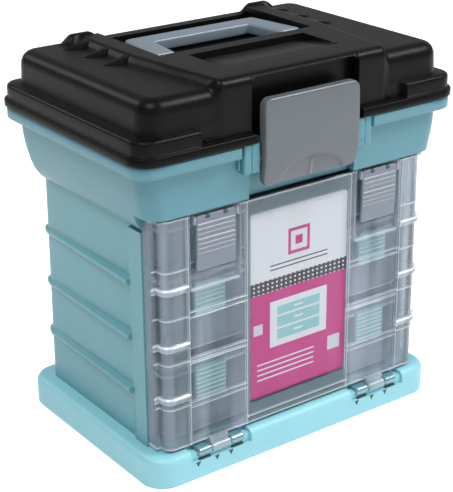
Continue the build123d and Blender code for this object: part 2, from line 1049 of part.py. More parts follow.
# Front door: clear tray with corner columns, beads, windows, latch pockets and hinge clips
with BuildPart() as front_door:
    extrude(door_outline(0, door_rim_back), amount=door_high - door_low)
    # Raised lines: window frames, column beads and the lines across the windows
    for x in (window_inner, window_outer):
        pair_of_blocks(
            x - ridge_width / 2,
            x + ridge_width / 2,
            door_front - ridge_relief,
            door_front,
            door_low,
            door_high,
        )
    block(
        -window_inner,
        window_inner,
        door_front - ridge_relief,
        door_front,
        door_low,
        door_low + frame_line_rise,
    )
    for rise in window_line_rises:
        pair_of_blocks(
            window_inner,
            window_outer,
            door_front - window_line_relief,
            door_front,
            base_height + rise - window_line_height / 2,
            base_height + rise + window_line_height / 2,
        )
    for rise in column_bead_rises:
        add(column_bead(base_height + rise))
    add(door_hollow(), mode=Mode.SUBTRACT)
    # Pockets for the two door latches, and the ears that hold them
    pair_of_blocks(
        pocket_inner - door_wall,
        pocket_outer + door_wall,
        door_front,
        door_inner + pocket_depth,
        pocket_low - door_wall,
        door_high,
    )
    pair_of_blocks(
        pocket_inner,
        pocket_outer,
        door_front - column_bead_relief,
        door_front + pocket_depth,
        pocket_low,
        door_high,
        Mode.SUBTRACT,
    )
    for centre in (-door_latch_centre, door_latch_centre):
        for side in (-1, 1):
            near = centre + side * (door_latch_half_width + ear_side_gap)
            far = near + side * ear_width
            block(
                min(near, far),
                max(near, far),
                door_latch_front,
                door_front + pocket_depth,
                door_latch_pivot_z - ear_width - door_latch_stub_radius,
                door_high - open_gap,
            )
            cross_rod(
                min(near, far),
                max(near, far),
                door_latch_pivot_y,
                door_latch_pivot_z,
                door_latch_stub_radius + running_gap,
                Mode.SUBTRACT,
            )
    # Hinge clips round the rods of the base
    clip_radius = hinge_rod_radius + running_gap + clip_wall
    for centre in (-hinge_centre, hinge_centre):
        cross_rod(centre - clip_width / 2, centre + clip_width / 2, hinge_y, hinge_z, clip_radius)
        block(
            centre - clip_width / 2,
            centre + clip_width / 2,
            hinge_y,
            door_front + door_wall,
            hinge_z + hinge_rod_radius + running_gap,
            door_low + door_wall,
        )
        cross_rod(
            centre - clip_width / 2,
            centre + clip_width / 2,
            hinge_y,
            hinge_z,
            hinge_rod_radius + running_gap,
            Mode.SUBTRACT,
        )
publish(front_door, "front_door")

# Label card behind the door's middle panel
with BuildPart() as label_card:
    card_plane = Plane.XZ.offset(-(door_inner + loose_gap))
    with BuildSketch(card_plane) as card_face:
        card_low = door_low + card_bottom_gap
        card_high = door_high - card_top_gap
        with Locations((card_centre, (card_low + card_high) / 2)):
            RectangleRounded(card_width, card_high - card_low, card_radius)
    extrude(card_face.sketch, amount=card_thickness, dir=(0, 1, 0))
publish(label_card, "label_card")


def door_latch(centre):
    """Grey finger latch with grip ribs and two pivot stubs"""
    left = centre - door_latch_half_width
    right = centre + door_latch_half_width
    plate_front = door_latch_front + rib_relief
    with BuildPart() as latch:
        block(left, right, plate_front, door_latch_back, door_latch_low, door_latch_high)
        fillet(latch.edges().filter_by(Axis.X).group_by(Axis.Y)[-1].sort_by(Axis.Z)[-1], door_latch_turn)
        chamfer(latch.edges().filter_by(Axis.Y).group_by(Axis.Z)[0], door_latch_stub_radius)
        for step in range(door_latch_ribs):
            top = door_latch_high - open_gap - step * door_latch_rib_pitch
            block(left, right, door_latch_front, plate_front, top - door_latch_rib_pitch / 2, top)
        cross_rod(
            left - door_latch_stub_length,
            right + door_latch_stub_length,
            door_latch_pivot_y,
            door_latch_pivot_z,
            door_latch_stub_radius,
        )
    return latch


publish(door_latch(-door_latch_centre), "door_latch_left")
publish(door_latch(door_latch_centre), "door_latch_right")


def box_block(half_width, front, back, corner, low, high, mode=Mode.ADD):
    """Upright block with bevelled corners, centred across the part"""
    with BuildSketch(Plane.XY.offset(low)) as plan:
        with Locations((0, (front + back) / 2)):
            Rectangle(2 * half_width, back - front)
        chamfer(plan.vertices(), corner)
    extrude(plan.sketch, amount=high - low, mode=mode)


def box_tray(low, height):
    """Clear tray of an organiser box, with a flange round its rim"""
    tray_top = low + height - box_lid_height
    half = box_width / 2
    with BuildPart() as tray:
        box_block(half, box_front, box_back, box_corner, low, tray_top)
        box_block(
            flange_half,
            box_front - box_flange_front,
            box_back + box_flange_back,
            box_corner,
            tray_top - box_flange_thickness,
            tray_top,
        )
        box_block(
            half - box_wall,
            box_front + box_wall,
            box_back - box_wall,
            box_corner - box_wall / 2,
            low + box_wall,
            tray_top,
            Mode.SUBTRACT,
        )
    return tray


def box_lid(low, height):
    """Clear lid of an organiser box, shaped like a shallow cap"""
    lid_bottom = low + height - box_lid_height
    front = box_front - box_flange_front
    back = box_back + box_flange_back
    with BuildPart() as cap:
        box_block(flange_half, front, back, box_corner, lid_bottom, low + height)
        chamfer(cap.faces().sort_by(Axis.Z)[-1].edges(), box_wall)
        box_block(
            flange_half - box_wall,
            front + box_wall,
            back - box_wall,
            box_corner - box_wall / 2,
            lid_bottom,
            low + height - box_wall,
            Mode.SUBTRACT,
        )
    return cap


def box_latch(low, height, centre):
    """Teal latch over the front of a box, with a hook under the tray's flange"""
    lid_bottom = low + height - box_lid_height
    back = box_front - box_flange_front
    front = back - box_latch_depth
    top = lid_bottom + box_latch_overlap
    left = centre - box_latch_width / 2
    right = centre + box_latch_width / 2
    with BuildPart() as latch:
        block(left, right, front + rib_relief, back, top - box_latch_height, top)
        chamfer(latch.edges().filter_by(Axis.Y), box_wall)
        pitch = (box_latch_height - 2 * box_wall) / box_latch_ribs
        for step in range(box_latch_ribs):
            rib_top = top - box_wall - step * pitch
            block(
                left + box_wall,
                right - box_wall,
                front,
                front + rib_relief,
                rib_top - pitch / 2,
                rib_top,
            )
        flange_low = lid_bottom - box_flange_thickness
        block(
            left + box_wall,
            right - box_wall,
            back,
            box_front,
            flange_low - box_wall,
            flange_low,
        )
    return latch


def box_dividers(low, height):
    """Loose grid of dividers that stands inside a box"""
    floor = low + box_wall
    top = low + height - box_lid_height - box_wall
    half = box_width / 2 - box_wall - loose_gap
    front = box_front + box_wall + loose_gap
    back = box_back - box_wall - loose_gap
    with BuildPart() as grid:
        for row in range(1, divider_rows + 1):
            y = front + (back - front) * row / (divider_rows + 1)
            block(-half, half, y - divider_thickness / 2, y + divider_thickness / 2, floor, top)
        for column in range(1, divider_columns + 1):
            x = -half + 2 * half * column / (divider_columns + 1)
            block(x - divider_thickness / 2, x + divider_thickness / 2, front, back, floor, top)
    return grid


# Organiser boxes: tray, lid, two latches and a divider grid each
for place, level in box_levels.items():
    tall = box_heights[place]
    publish(box_tray(level, tall), f"{place}_box_tray")
    publish(box_lid(level, tall), f"{place}_box_lid")
    publish(box_latch(level, tall, -box_latch_centre), f"{place}_box_latch_left")
    publish(box_latch(level, tall, box_latch_centre), f"{place}_box_latch_right")
    publish(box_dividers(level, tall), f"{place}_box_dividers")
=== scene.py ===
"""Looks of the craft storage rack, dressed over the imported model. Sizes are in millimetres."""

import json
import logging
import math
from collections.abc import Callable, Sequence
from dataclasses import dataclass
from enum import Enum
from typing import Any

import bmesh
import bpy
import numpy as np
from mathutils import Matrix, Vector

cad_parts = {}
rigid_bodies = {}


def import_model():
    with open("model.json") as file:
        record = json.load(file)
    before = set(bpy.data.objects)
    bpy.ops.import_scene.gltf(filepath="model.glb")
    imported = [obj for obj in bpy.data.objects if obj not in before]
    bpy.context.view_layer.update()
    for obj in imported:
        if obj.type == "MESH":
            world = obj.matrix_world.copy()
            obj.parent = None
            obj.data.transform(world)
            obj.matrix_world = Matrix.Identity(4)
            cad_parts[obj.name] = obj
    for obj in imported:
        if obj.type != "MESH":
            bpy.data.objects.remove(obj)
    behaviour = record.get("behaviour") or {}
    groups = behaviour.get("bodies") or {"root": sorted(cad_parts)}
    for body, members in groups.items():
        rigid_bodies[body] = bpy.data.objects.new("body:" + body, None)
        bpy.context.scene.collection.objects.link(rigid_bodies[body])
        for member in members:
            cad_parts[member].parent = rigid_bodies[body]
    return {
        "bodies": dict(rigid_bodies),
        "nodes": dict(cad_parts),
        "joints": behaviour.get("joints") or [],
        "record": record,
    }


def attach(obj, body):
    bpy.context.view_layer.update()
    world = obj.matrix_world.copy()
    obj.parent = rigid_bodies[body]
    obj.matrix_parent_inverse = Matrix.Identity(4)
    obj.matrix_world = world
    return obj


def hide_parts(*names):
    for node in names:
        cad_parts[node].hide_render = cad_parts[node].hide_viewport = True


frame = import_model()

logging.basicConfig(level=logging.INFO, format="%(message)s")
log = logging.getLogger("rack")

MM = 0.001
WELD = 4e-6
LEAST = 0.02
LID_HINGE = (115.5, 294.15)
DOOR_HINGE = (-105.0, 24.0)
DOOR_HINGE_CENTRE = 89.8
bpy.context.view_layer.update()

Points = np.ndarray
Colour = tuple[float, float, float]
Pair = tuple[float, float]
Box = tuple[float, float, float, float]


class Side(Enum):
    """Left or right half of the rack, by the sign of X."""

    LEFT = -1
    RIGHT = 1

    def span(self, near: float, far: float) -> Pair:
        """Two distances from the middle as places along X on this side, in rising order."""
        low, high = sorted((self.value * near, self.value * far))
        return low, high


def smooth(start: float, end: float, value: Points) -> Points:
    """Cubic ease 3t^2 - 2t^3, where t runs from 0 at start to 1 at end and is clipped.

    Args:
        start: Value at which the ease is 0.
        end: Value at which the ease is 1.
        value: Values to ease.

    Returns:
        The eased values, between 0 and 1.
    """
    share = np.clip((np.asarray(value, float) - start) / (end - start), 0.0, 1.0)
    return share * share * (3.0 - 2.0 * share)


def bell(offset: Points, width: float) -> Points:
    """Bell curve exp(-(offset / width)^2)."""
    return np.exp(-((offset / width) ** 2))


def mirrored(places: Sequence[float]) -> tuple[float, ...]:
    """Positions on both sides of zero, in rising order, with zero kept once."""
    right = sorted(places)
    return tuple(-place for place in reversed(right) if place > 0) + tuple(right)


def upright(a: Points, b: Points, height: Points) -> Points:
    """Points whose X, Y and Z are a, b and the height, each spread to their common shape."""
    return np.stack(np.broadcast_arrays(a, b, height), axis=-1)


def facing(a: Points, b: Points, height: Points) -> Points:
    """Points that face the front: a is X, b is Z and the height is towards -Y."""
    return upright(a, -height, b)


@dataclass(frozen=True)
class Ledges:
    """Row of ledges down a latch: each rises over a share of its pitch and falls back evenly.

    Attributes:
        top: Height at which the first ledge starts.
        pitch: Height of one ledge.
        count: Number of ledges.
        rise: Share of the pitch over which a ledge rises.
    """

    top: float
    pitch: float
    count: int
    rise: float

    def part(self, z: Points) -> tuple[Points, Points]:
        """Share of the way down its ledge for each height, and whether a ledge is there."""
        phase = (self.top - z) / self.pitch
        return phase - np.floor(phase), (phase > 0) & (phase < self.count)

    def step(self, z: Points) -> tuple[Points, Points]:
        """Relief of the ledges from 0 to 1, and whether a ledge is there."""
        part, inside = self.part(z)
        return np.where(part < self.rise, part / self.rise, (1 - part) / (1 - self.rise)), inside


@dataclass(frozen=True)
class Plan:
    """Grid lines over a rounded rectangle, shared by its decks and by the rings round it.

    Attributes:
        columns: Lines across the straight part, rising.
        rows: Lines along the straight part, rising.
        extra: Steps between the last line and the start of a corner.
        arc: Steps along half of a corner.
    """

    columns: tuple[float, ...]
    rows: tuple[float, ...]
    extra: int = 1
    arc: int = 4

    def _axis(
        self, lines: Sequence[float], low: float, high: float, radius: float
    ) -> tuple[Points, Points]:
        """Straight positions along one axis and each line's share of the corner, signed."""
        lead = np.linspace(low + radius, lines[0], self.extra + 1)[:-1]
        tail = np.linspace(lines[-1], high - radius, self.extra + 1)[1:]
        corner = np.arange(1, self.arc + 1) / self.arc
        ends = np.full(self.arc, low + radius), np.full(self.arc, high - radius)
        centre = np.concatenate([ends[0], lead, lines, tail, ends[1]])
        share = np.concatenate([-corner[::-1], np.zeros(len(lines) + 2 * self.extra), corner])
        return centre, share

    def grid(self, box: Sequence[float], radius: float) -> Points:
        """Grid over a rounded rectangle.

        A corner's square patch (s, t) is laid on a quarter disc: the distance from its
        centre is radius * max(s, t), and the angle is 45 degrees times the smaller share
        over the larger, counted from the nearer side.

        Args:
            box: Left, right, front and back of the rectangle.
            radius: Corner radius.

        Returns:
            Points of shape (rows, columns, 2).
        """
        across, share_x = self._axis(self.columns, box[0], box[1], radius)
        along, share_y = self._axis(self.rows, box[2], box[3], radius)
        x, y = np.meshgrid(across, along)
        s, t = np.meshgrid(share_x, share_y)
        a, b = np.abs(s), np.abs(t)
        reach = np.maximum(a, b)
        ratio = np.minimum(a, b) / np.where(reach > 0, reach, 1.0)
        angle = np.where(a >= b, math.pi / 4 * ratio, math.pi / 2 - math.pi / 4 * ratio)
        x = x + np.sign(s) * radius * reach * np.cos(angle)
        y = y + np.sign(t) * radius * reach * np.sin(angle)
        return np.stack([x, y], axis=-1)

    def ring(self, box: Sequence[float], radius: float) -> Points:
        """Edge of the grid as one closed loop that starts with its front row."""
        plan = self.grid(box, radius)
        return np.concatenate([plan[0], plan[1:, -1], plan[-1, -2::-1], plan[-2:0:-1, 0]])

    def level(self, box: Sequence[float], radius: float, z: float) -> Points:
        """Ring at a height, as points of X, Y and Z."""
        loop = self.ring(box, radius)
        return np.column_stack([loop, np.full(len(loop), z)])

    def deck(self, box: Sequence[float], radius: float, z: float) -> Points:
        """Grid at a height, as points of X, Y and Z."""
        plan = self.grid(box, radius)
        return np.dstack([plan, np.full(plan.shape[:2], z)])

    def front_count(self) -> int:
        """Number of points in the front row of a ring."""
        return len(self.columns) + 2 * (self.extra + self.arc)


class Skin:
    """Grids of points that become one welded, closed mesh."""

    def __init__(self) -> None:
        """Start with no points."""
        self.points: list[Points] = []
        self.faces: list[Points] = []
        self.marks: list[Points] = []
        self.count = 0
        # Default mark: weight of painted highlight, read by the clear materials.
        self.tone = 0.0

    def grid(self, points: Points, wrap: bool = False, mark: Points | None = None) -> None:
        """Add a grid of quads.

        Args:
            points: Array of shape (rows, columns, 3).
            wrap: Whether the last column joins the first.
            mark: Weight of painted highlight for every point, kept as "mark" on the mesh, or else the
                skin's default weight of painted highlight.
        """
        rows, columns = points.shape[:2]
        index = np.arange(rows * columns).reshape(rows, columns) + self.count
        if wrap:
            index = np.concatenate([index, index[:, :1]], axis=1)
        quads = np.stack([index[:-1, :-1], index[:-1, 1:], index[1:, 1:], index[1:, :-1]], axis=-1)
        self.points.append(points.reshape(-1, 3))
        self.faces.append(quads.reshape(-1, 4))
        value = self.tone if mark is None else mark
        self.marks.append(np.broadcast_to(value, (rows, columns)).reshape(-1))
        self.count += rows * columns

    def turned(self, y: float, z: float, profile: Sequence[tuple[float, float]], steps: int = 24) -> None:
        """Profile turned round an axis along X: point = (x, y + r cos a, z + r sin a).

        Args:
            y: Depth of the axis.
            z: Height of the axis.
            profile: Pairs of place along X and radius.
            steps: Faces round the axis.
        """
        angle = np.arange(steps) * 2 * math.pi / steps
        x, radius = np.array(profile, float).T[..., None]
        self.grid(upright(x, y + radius * np.cos(angle), z + radius * np.sin(angle)), wrap=True)

    def rod(self, x0: float, x1: float, y: float, z: float, radius: float, bevel: float = 0.4) -> None:
        """Closed round rod along X with bevelled ends."""
        profile = [(x0, 0.0), (x0, radius - bevel), (x0 + bevel, radius)]
        profile += [(x1 - bevel, radius), (x1, radius - bevel), (x1, 0.0)]
        self.turned(y, z, profile)

    def pad(
        self,
        plan: Plan,
        box: Sequence[float],
        radius: float,
        levels: Pair,
        edges: Pair,
        place: Callable[[Points, Points, Points], Points],
        shape: Callable[[Points, Points], Points] | None = None,
        steps: int = 4,
        tint: Callable[[Points, Points], Points] | None = None,
    ) -> None:
        """Closed pad over a rounded rectangle, both rims rounded as quarter circles.

        A rim point at angle a is drawn in by e (1 - cos a) and raised by e sin a, where e is
        the rounding. The top deck's height is its level plus shape(a, b).

        Args:
            plan: Grid lines of the pad.
            box: Left, right, front and back in the pad's own plane.
            radius: Corner radius.
            levels: Bottom and top level.
            edges: Rounding of the bottom and of the top rim.
            place: Turns the pad's a, b and height into X, Y and Z.
            shape: Extra height of the top deck at a, b.
            steps: Steps of each rounding.
            tint: Mark of painted highlight on the top deck at a, b.
        """
        (low, high), (foot, rim) = levels, edges
        turn = np.linspace(0, math.pi / 2, steps + 1)
        back = turn[::-1]
        insets = np.concatenate([foot * (1 - np.cos(back)), rim * (1 - np.cos(turn))])
        heights = np.concatenate([low + foot * (1 - np.sin(back)), high - rim * (1 - np.sin(turn))])
        wall = np.array([
            plan.level(self._shrunk(box, inset), max(radius - inset, LEAST), height)
            for inset, height in zip(insets, heights)
        ])
        if shape is not None:
            share = np.clip((heights - low) / (high - low), 0, 1)[:, None]
            wall[..., 2] += shape(wall[..., 0], wall[..., 1]) * share
        self.grid(place(wall[..., 0], wall[..., 1], wall[..., 2]), wrap=True)
        for level, edge, top in ((low, foot, False), (high, rim, True)):
            deck = plan.grid(self._shrunk(box, edge), max(radius - edge, LEAST))
            a, b = deck[..., 0], deck[..., 1]
            height = np.full(a.shape, level)
            if top and shape is not None:
                height = height + shape(a, b)
            self.grid(place(a, b, height), mark=tint(a, b) if top and tint else None)

    @staticmethod
    def _shrunk(box: Sequence[float], inset: float) -> Box:
        """Rectangle drawn in by an inset on every side."""
        return box[0] + inset, box[1] - inset, box[2] + inset, box[3] - inset

    def block(self, x: Pair, y: Pair, z: Pair, edge: float = 0.5) -> None:
        """Upright block between two places on each axis, with small rounded edges."""
        plan = Plan((sum(x) / 2,), (sum(y) / 2,), arc=2)
        self.pad(plan, (*x, *y), 2 * edge, (z[0], z[1]), (edge, edge), upright, steps=2)

    def build(
        self,
        name: str,
        body: str,
        material: bpy.types.Material,
        nodes: Sequence[str] = (),
        slot: str = "",
        crease: float = 38.0,
    ) -> bpy.types.Object:
        """Weld the grids, face them outwards and hand the piece to the frame.

        Args:
            name: Name of the piece.
            body: Body it rides on.
            material: Its finish.
            nodes: CAD nodes that it stands for.
            slot: Material slot of the record; not used.
            crease: Angle in degrees past which an edge is sharp.

        Returns:
            The new object.
        """
        mesh = bpy.data.meshes.new(name)
        points = np.concatenate(self.points) * MM
        mesh.from_pydata(points.tolist(), [], np.concatenate(self.faces).tolist())
        layer = mesh.attributes.new("mark", "FLOAT", "POINT")
        layer.data.foreach_set("value", np.concatenate(self.marks).astype(np.float32))
        work = bmesh.new()
        work.from_mesh(mesh)
        bmesh.ops.remove_doubles(work, verts=work.verts, dist=WELD)
        bmesh.ops.dissolve_degenerate(work, edges=work.edges, dist=WELD)
        bmesh.ops.recalc_face_normals(work, faces=work.faces)
        work.to_mesh(mesh)
        work.free()
        mesh.shade_smooth()
        mesh.set_sharp_from_angle(angle=math.radians(crease))
        piece = bpy.data.objects.new(name, mesh)
        bpy.context.scene.collection.objects.link(piece)
        mesh.materials.append(material)
        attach(piece, body)
        if nodes:
            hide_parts(*nodes)
        log.info("%s: %d faces on %s", name, len(mesh.polygons), body)
        return piece


class Value:
    """Number carried by a shader socket, on which arithmetic adds Math nodes."""

    def __init__(self, recipe: "Recipe", socket: bpy.types.NodeSocket) -> None:
        """Wrap a socket of a recipe's tree."""
        self.recipe = recipe
        self.socket = socket

    def _math(self, operation: str, *values: Any) -> "Value":
        """Add one Math node with the given operation and values."""
        inputs = {index: value for index, value in enumerate(values)}
        node = self.recipe.node("ShaderNodeMath", {"operation": operation}, inputs)
        return Value(self.recipe, node.outputs[0])

    def __add__(self, other: Any) -> "Value":
        """Sum."""
        return self._math("ADD", self, other)

    def __sub__(self, other: Any) -> "Value":
        """Difference."""
        return self._math("SUBTRACT", self, other)

    def __mul__(self, other: Any) -> "Value":
        """Product."""
        return self._math("MULTIPLY", self, other)

    def __rsub__(self, other: Any) -> "Value":
        """Difference with the number first."""
        return self._math("SUBTRACT", other, self)

    __radd__ = __add__
    __rmul__ = __mul__

    def below(self, limit: Any) -> "Value":
        """1 where the value is below a limit, else 0."""
        return self._math("LESS_THAN", self, limit)

    def above(self, limit: Any) -> "Value":
        """1 where the value is above a limit, else 0."""
        return self._math("GREATER_THAN", self, limit)

    def between(self, low: float, high: float) -> "Value":
        """1 between two limits, else 0."""
        return self.above(low) * self.below(high)

    def size(self) -> "Value":
        """Absolute value."""
        return self._math("ABSOLUTE", self)

    def lowest(self, other: Any) -> "Value":
        """Smaller of two values."""
        return self._math("MINIMUM", self, other)

    def highest(self, other: Any) -> "Value":
        """Larger of two values."""
        return self._math("MAXIMUM", self, other)

    def wave(self, period: float) -> "Value":
        """Distance from the nearest multiple of a period, as a share of half the period."""
        return self._math("PINGPONG", self, period / 2) * (2 / period)


class Recipe:
    """Node tree of one material, or of the world."""

    def __init__(self, name: str, world: bpy.types.World | None = None) -> None:
        """Start an empty tree, in a new material unless a world is given."""
        self.owner = world or bpy.data.materials.new(name)
        self.owner.use_nodes = True
        self.tree = self.owner.node_tree
        self.tree.nodes.clear()

    def node(
        self, kind: str, settings: dict[str, Any] | None = None, inputs: dict[Any, Any] | None = None
    ) -> bpy.types.Node:
        """Add a node.

        Args:
            kind: Node type.
            settings: Properties, set first.
            inputs: Values or links of its sockets, by name or number.

        Returns:
            The node.
        """
        node = self.tree.nodes.new(kind)
        for key, value in (settings or {}).items():
            setattr(node, key, value)
        for key, value in (inputs or {}).items():
            socket = value.socket if isinstance(value, Value) else value
            if isinstance(socket, bpy.types.NodeSocket):
                self.tree.links.new(socket, node.inputs[key])
            else:
                node.inputs[key].default_value = socket
        return node

    def _spot(self) -> bpy.types.NodeSocket:
        """Object coordinates in metres."""
        return self.node("ShaderNodeTexCoord").outputs["Object"]

    def seen_by(self, *kinds: str) -> Value:
        """1 for rays of any of these kinds of Light Path's outputs, else 0."""
        rays = self.node("ShaderNodeLightPath").outputs
        seen, *others = (Value(self, rays[kind]) for kind in kinds)
        for other in others:
            seen = seen.highest(other)
        return seen

    def place(self) -> tuple[Value, Value, Value]:
        """Object coordinates X, Y and Z in millimetres."""
        split = self.node("ShaderNodeSeparateXYZ", inputs={0: self._spot()})
        x, y, z = (Value(self, output) * 1000.0 for output in split.outputs)
        return x, y, z

    def noise(self, scale: float, detail: float = 2.0, roughness: float = 0.5) -> Value:
        """Fractal noise on object coordinates; scale is in cycles per metre."""
        inputs = {
            "Vector": self._spot(),
            "Scale": scale,
            "Detail": detail,
            "Roughness": roughness,
        }
        return Value(self, self.node("ShaderNodeTexNoise", inputs=inputs).outputs[0])

    def streaks(self, scale: tuple[float, float, float], detail: float = 2.0) -> Value:
        """Noise stretched by its own scale along each axis, in cycles per metre."""
        mapping = self.node("ShaderNodeMapping", inputs={0: self._spot(), "Scale": scale})
        inputs = {"Vector": mapping.outputs[0], "Scale": 1.0, "Detail": detail}
        return Value(self, self.node("ShaderNodeTexNoise", inputs=inputs).outputs[0])

    def mark(self) -> Value:
        """The mesh's own mark attribute: the weight of painted highlight."""
        return Value(self, self.node("ShaderNodeAttribute", {"attribute_name": "mark"}).outputs["Fac"])

    def mottled(self, share: Value, colour: Colour, swing: float) -> bpy.types.NodeSocket:
        """Colour that a share of 0 to 1 takes from (1 - 2 swing) to (1 + 2 swing) of itself."""
        ends = (tuple(channel * (1 + way * 2 * swing) for channel in colour) for way in (-1, 1))
        return self.blend(share, *ends)

    def blend(self, share: Any, first: Any, second: Any) -> bpy.types.NodeSocket:
        """Mix of two colours; a share of 1 gives the second."""
        colours = {6: self._colour(first), 7: self._colour(second), 0: share}
        node = self.node("ShaderNodeMix", {"data_type": "RGBA"}, colours)
        return node.outputs[2]

    @staticmethod
    def _colour(value: Any) -> Any:
        """Colour with its alpha, or a socket as it is."""
        return (*value, 1.0) if isinstance(value, tuple) else value

    def bump(self, height: Value, depth: float, strength: float = 1.0) -> bpy.types.NodeSocket:
        """Bump of a height field, with its depth in millimetres."""
        inputs = {"Height": height, "Distance": depth * MM, "Strength": strength}
        return self.node("ShaderNodeBump", inputs=inputs).outputs[0]

    def plastic(self, inputs: dict[str, Any]) -> bpy.types.Material:
        """Send a principled shader with these inputs to the output and return the material."""
        shader = self.node("ShaderNodeBsdfPrincipled", inputs=inputs)
        self.node("ShaderNodeOutputMaterial", inputs={"Surface": shader.outputs[0]})
        return self.owner


@dataclass(frozen=True)
class Moulding:
    """Opaque moulded plastic: mottled colour, fine grain and a satin surface.

    Attributes:
        name: Name of the material.
        colour: Base colour.
        roughness: Middle roughness.
        grain: Grain cycles per metre.
        depth: Grain depth in millimetres.
        mottle: How much the colour varies.
        coat: Weight of the gloss coat.
        level: Specular level.
    """

    name: str
    colour: Colour
    roughness: float = 0.42
    grain: float = 900.0
    depth: float = 0.02
    mottle: float = 0.03
    coat: float = 0.0
    level: float = 0.5

    def material(self) -> bpy.types.Material:
        """Build the material."""
        recipe = Recipe(self.name)
        cloud = recipe.noise(22.0, 3.0)
        grain = recipe.noise(self.grain, 2.0, 0.6)
        return recipe.plastic({
            "Base Color": recipe.mottled(cloud, self.colour, self.mottle),
            "Roughness": (grain - 0.5) * 0.16 + (cloud - 0.5) * 0.10 + self.roughness,
            "Normal": recipe.bump(grain, self.depth),
            "Coat Weight": self.coat,
            "Coat Roughness": 0.18,
            "Specular IOR Level": self.level,
        })


@dataclass(frozen=True)
class LidMoulding(Moulding):
    """The lid's moulding, with fine grip lines in its finger scoop: real bumps, painted paler as a painted
    highlight.

    Attributes:
        half: Half-length of the lines.
        front: Front edge of the lined field.
        back: Back edge of the lined field.
        low: Height above which the lines lie.
        pitch: Distance from line to line.
        line: Paler colour of the lines, a painted highlight.
    """

    half: float = 50.0
    front: float = -70.0
    back: float = -30.0
    low: float = 342.0
    pitch: float = 3.6
    line: Colour = (0.09, 0.09, 0.10)

    def material(self) -> bpy.types.Material:
        """Build the material: grain everywhere, and lines along X inside the scoop, bumped and painted
        paler as a painted highlight.
        """
        recipe = Recipe(self.name)
        x, y, z = recipe.place()
        cloud = recipe.noise(18.0, 3.0)
        grain = recipe.noise(self.grain, 3.0, 0.65)
        inside = x.size().below(self.half) * y.between(self.front, self.back) * z.above(self.low)
        lines = y.wave(self.pitch).above(0.62) * inside
        plain = recipe.mottled(cloud, self.colour, self.mottle)
        return recipe.plastic({
            # The grip lines are painted paler: painted highlight.
            "Base Color": recipe.blend(lines * 0.5, plain, self.line),
            "Roughness": (grain - 0.5) * 0.24 + self.roughness,
            "Normal": recipe.bump(grain + lines * 4.0, self.depth),
            "Specular IOR Level": self.level,
        })


@dataclass(frozen=True)
class Clear:
    """Clear plastic: see-through panes with upright streaks of painted reflection, painted highlight that
    makes the marked ribs and edges paler and denser, and painted shade over the corner columns and the
    margin round the card.

    Attributes:
        name: Name of the material.
        shade: Darker colour of the panes, in the streaks of painted reflection and as painted shade over
            the margin round the card.
        tint: Lighter colour of the panes, in the streaks of painted reflection.
        rim: Colour of the painted highlight on the marked ribs and edges.
        alpha: Opacity of the panes.
        rim_alpha: Opacity of the painted highlight on the ribs and edges.
        roughness: Roughness.
        column: Distance from the middle at which the denser corner columns start.
        column_back: Back edge of the corner columns.
        column_alpha: Opacity of the corner columns, denser so that they show as painted shade.
        frame: Half-width of the middle panel, whose margin round the card is dense.
        card: Left, right, bottom and top of the card, over which the pane is bare.
        card_alpha: Opacity of the pane over the card.
        contrast: How strongly the streaks of painted reflection swing between both colours.
        margin_alpha: Opacity of the painted shade in the panel's margin round the card.
    """

    name: str
    shade: Colour
    tint: Colour
    rim: Colour
    alpha: float = 0.4
    rim_alpha: float = 0.95
    roughness: float = 0.12
    column: float = 1000.0
    column_back: float = -90.3
    column_alpha: float = 0.6
    frame: float = 0.0
    card: Box = (-53.0, 56.0, 50.0, 227.0)
    card_alpha: float = 0.03
    contrast: float = 0.9
    margin_alpha: float = 0.75

    def material(self) -> bpy.types.Material:
        """Build the material: upright streaks of painted reflection swing the panes between both colours,
        the denser columns and margin are painted shade, and the mark whitens the edges as painted
        highlight.
        """
        recipe = Recipe(self.name)
        mark = recipe.mark()
        x, y, z = recipe.place()
        # Upright streaks: painted reflection in the clear plastic.
        streak = recipe.streaks((55.0, 55.0, 2.5), 2.0)
        share = ((streak - 0.5) * self.contrast + 0.55).highest(0.0).lowest(1.0)
        pane = recipe.blend(share, self.shade, self.tint)
        # Denser, darker corner columns and margin round the card: painted shade.
        column = x.size().above(self.column) * y.below(self.column_back)
        frame = x.size().below(self.frame)
        left, right, low, high = self.card
        bare = frame * x.between(left, right) * z.between(low, high)
        margin = frame - bare
        pane = recipe.blend(margin, pane, self.shade)
        alpha = column * (self.column_alpha - self.alpha) + self.alpha
        alpha = alpha - bare * (self.alpha - self.card_alpha)
        alpha = alpha + margin * (self.margin_alpha - self.alpha)
        return recipe.plastic({
            # The mark makes ribs and edges paler and denser: painted highlight.
            "Base Color": recipe.blend(mark, pane, self.rim),
            "Roughness": streak * 0.1 + self.roughness,
            "Alpha": mark * (self.rim_alpha - alpha) + alpha,
            "Specular IOR Level": 0.8,
        })


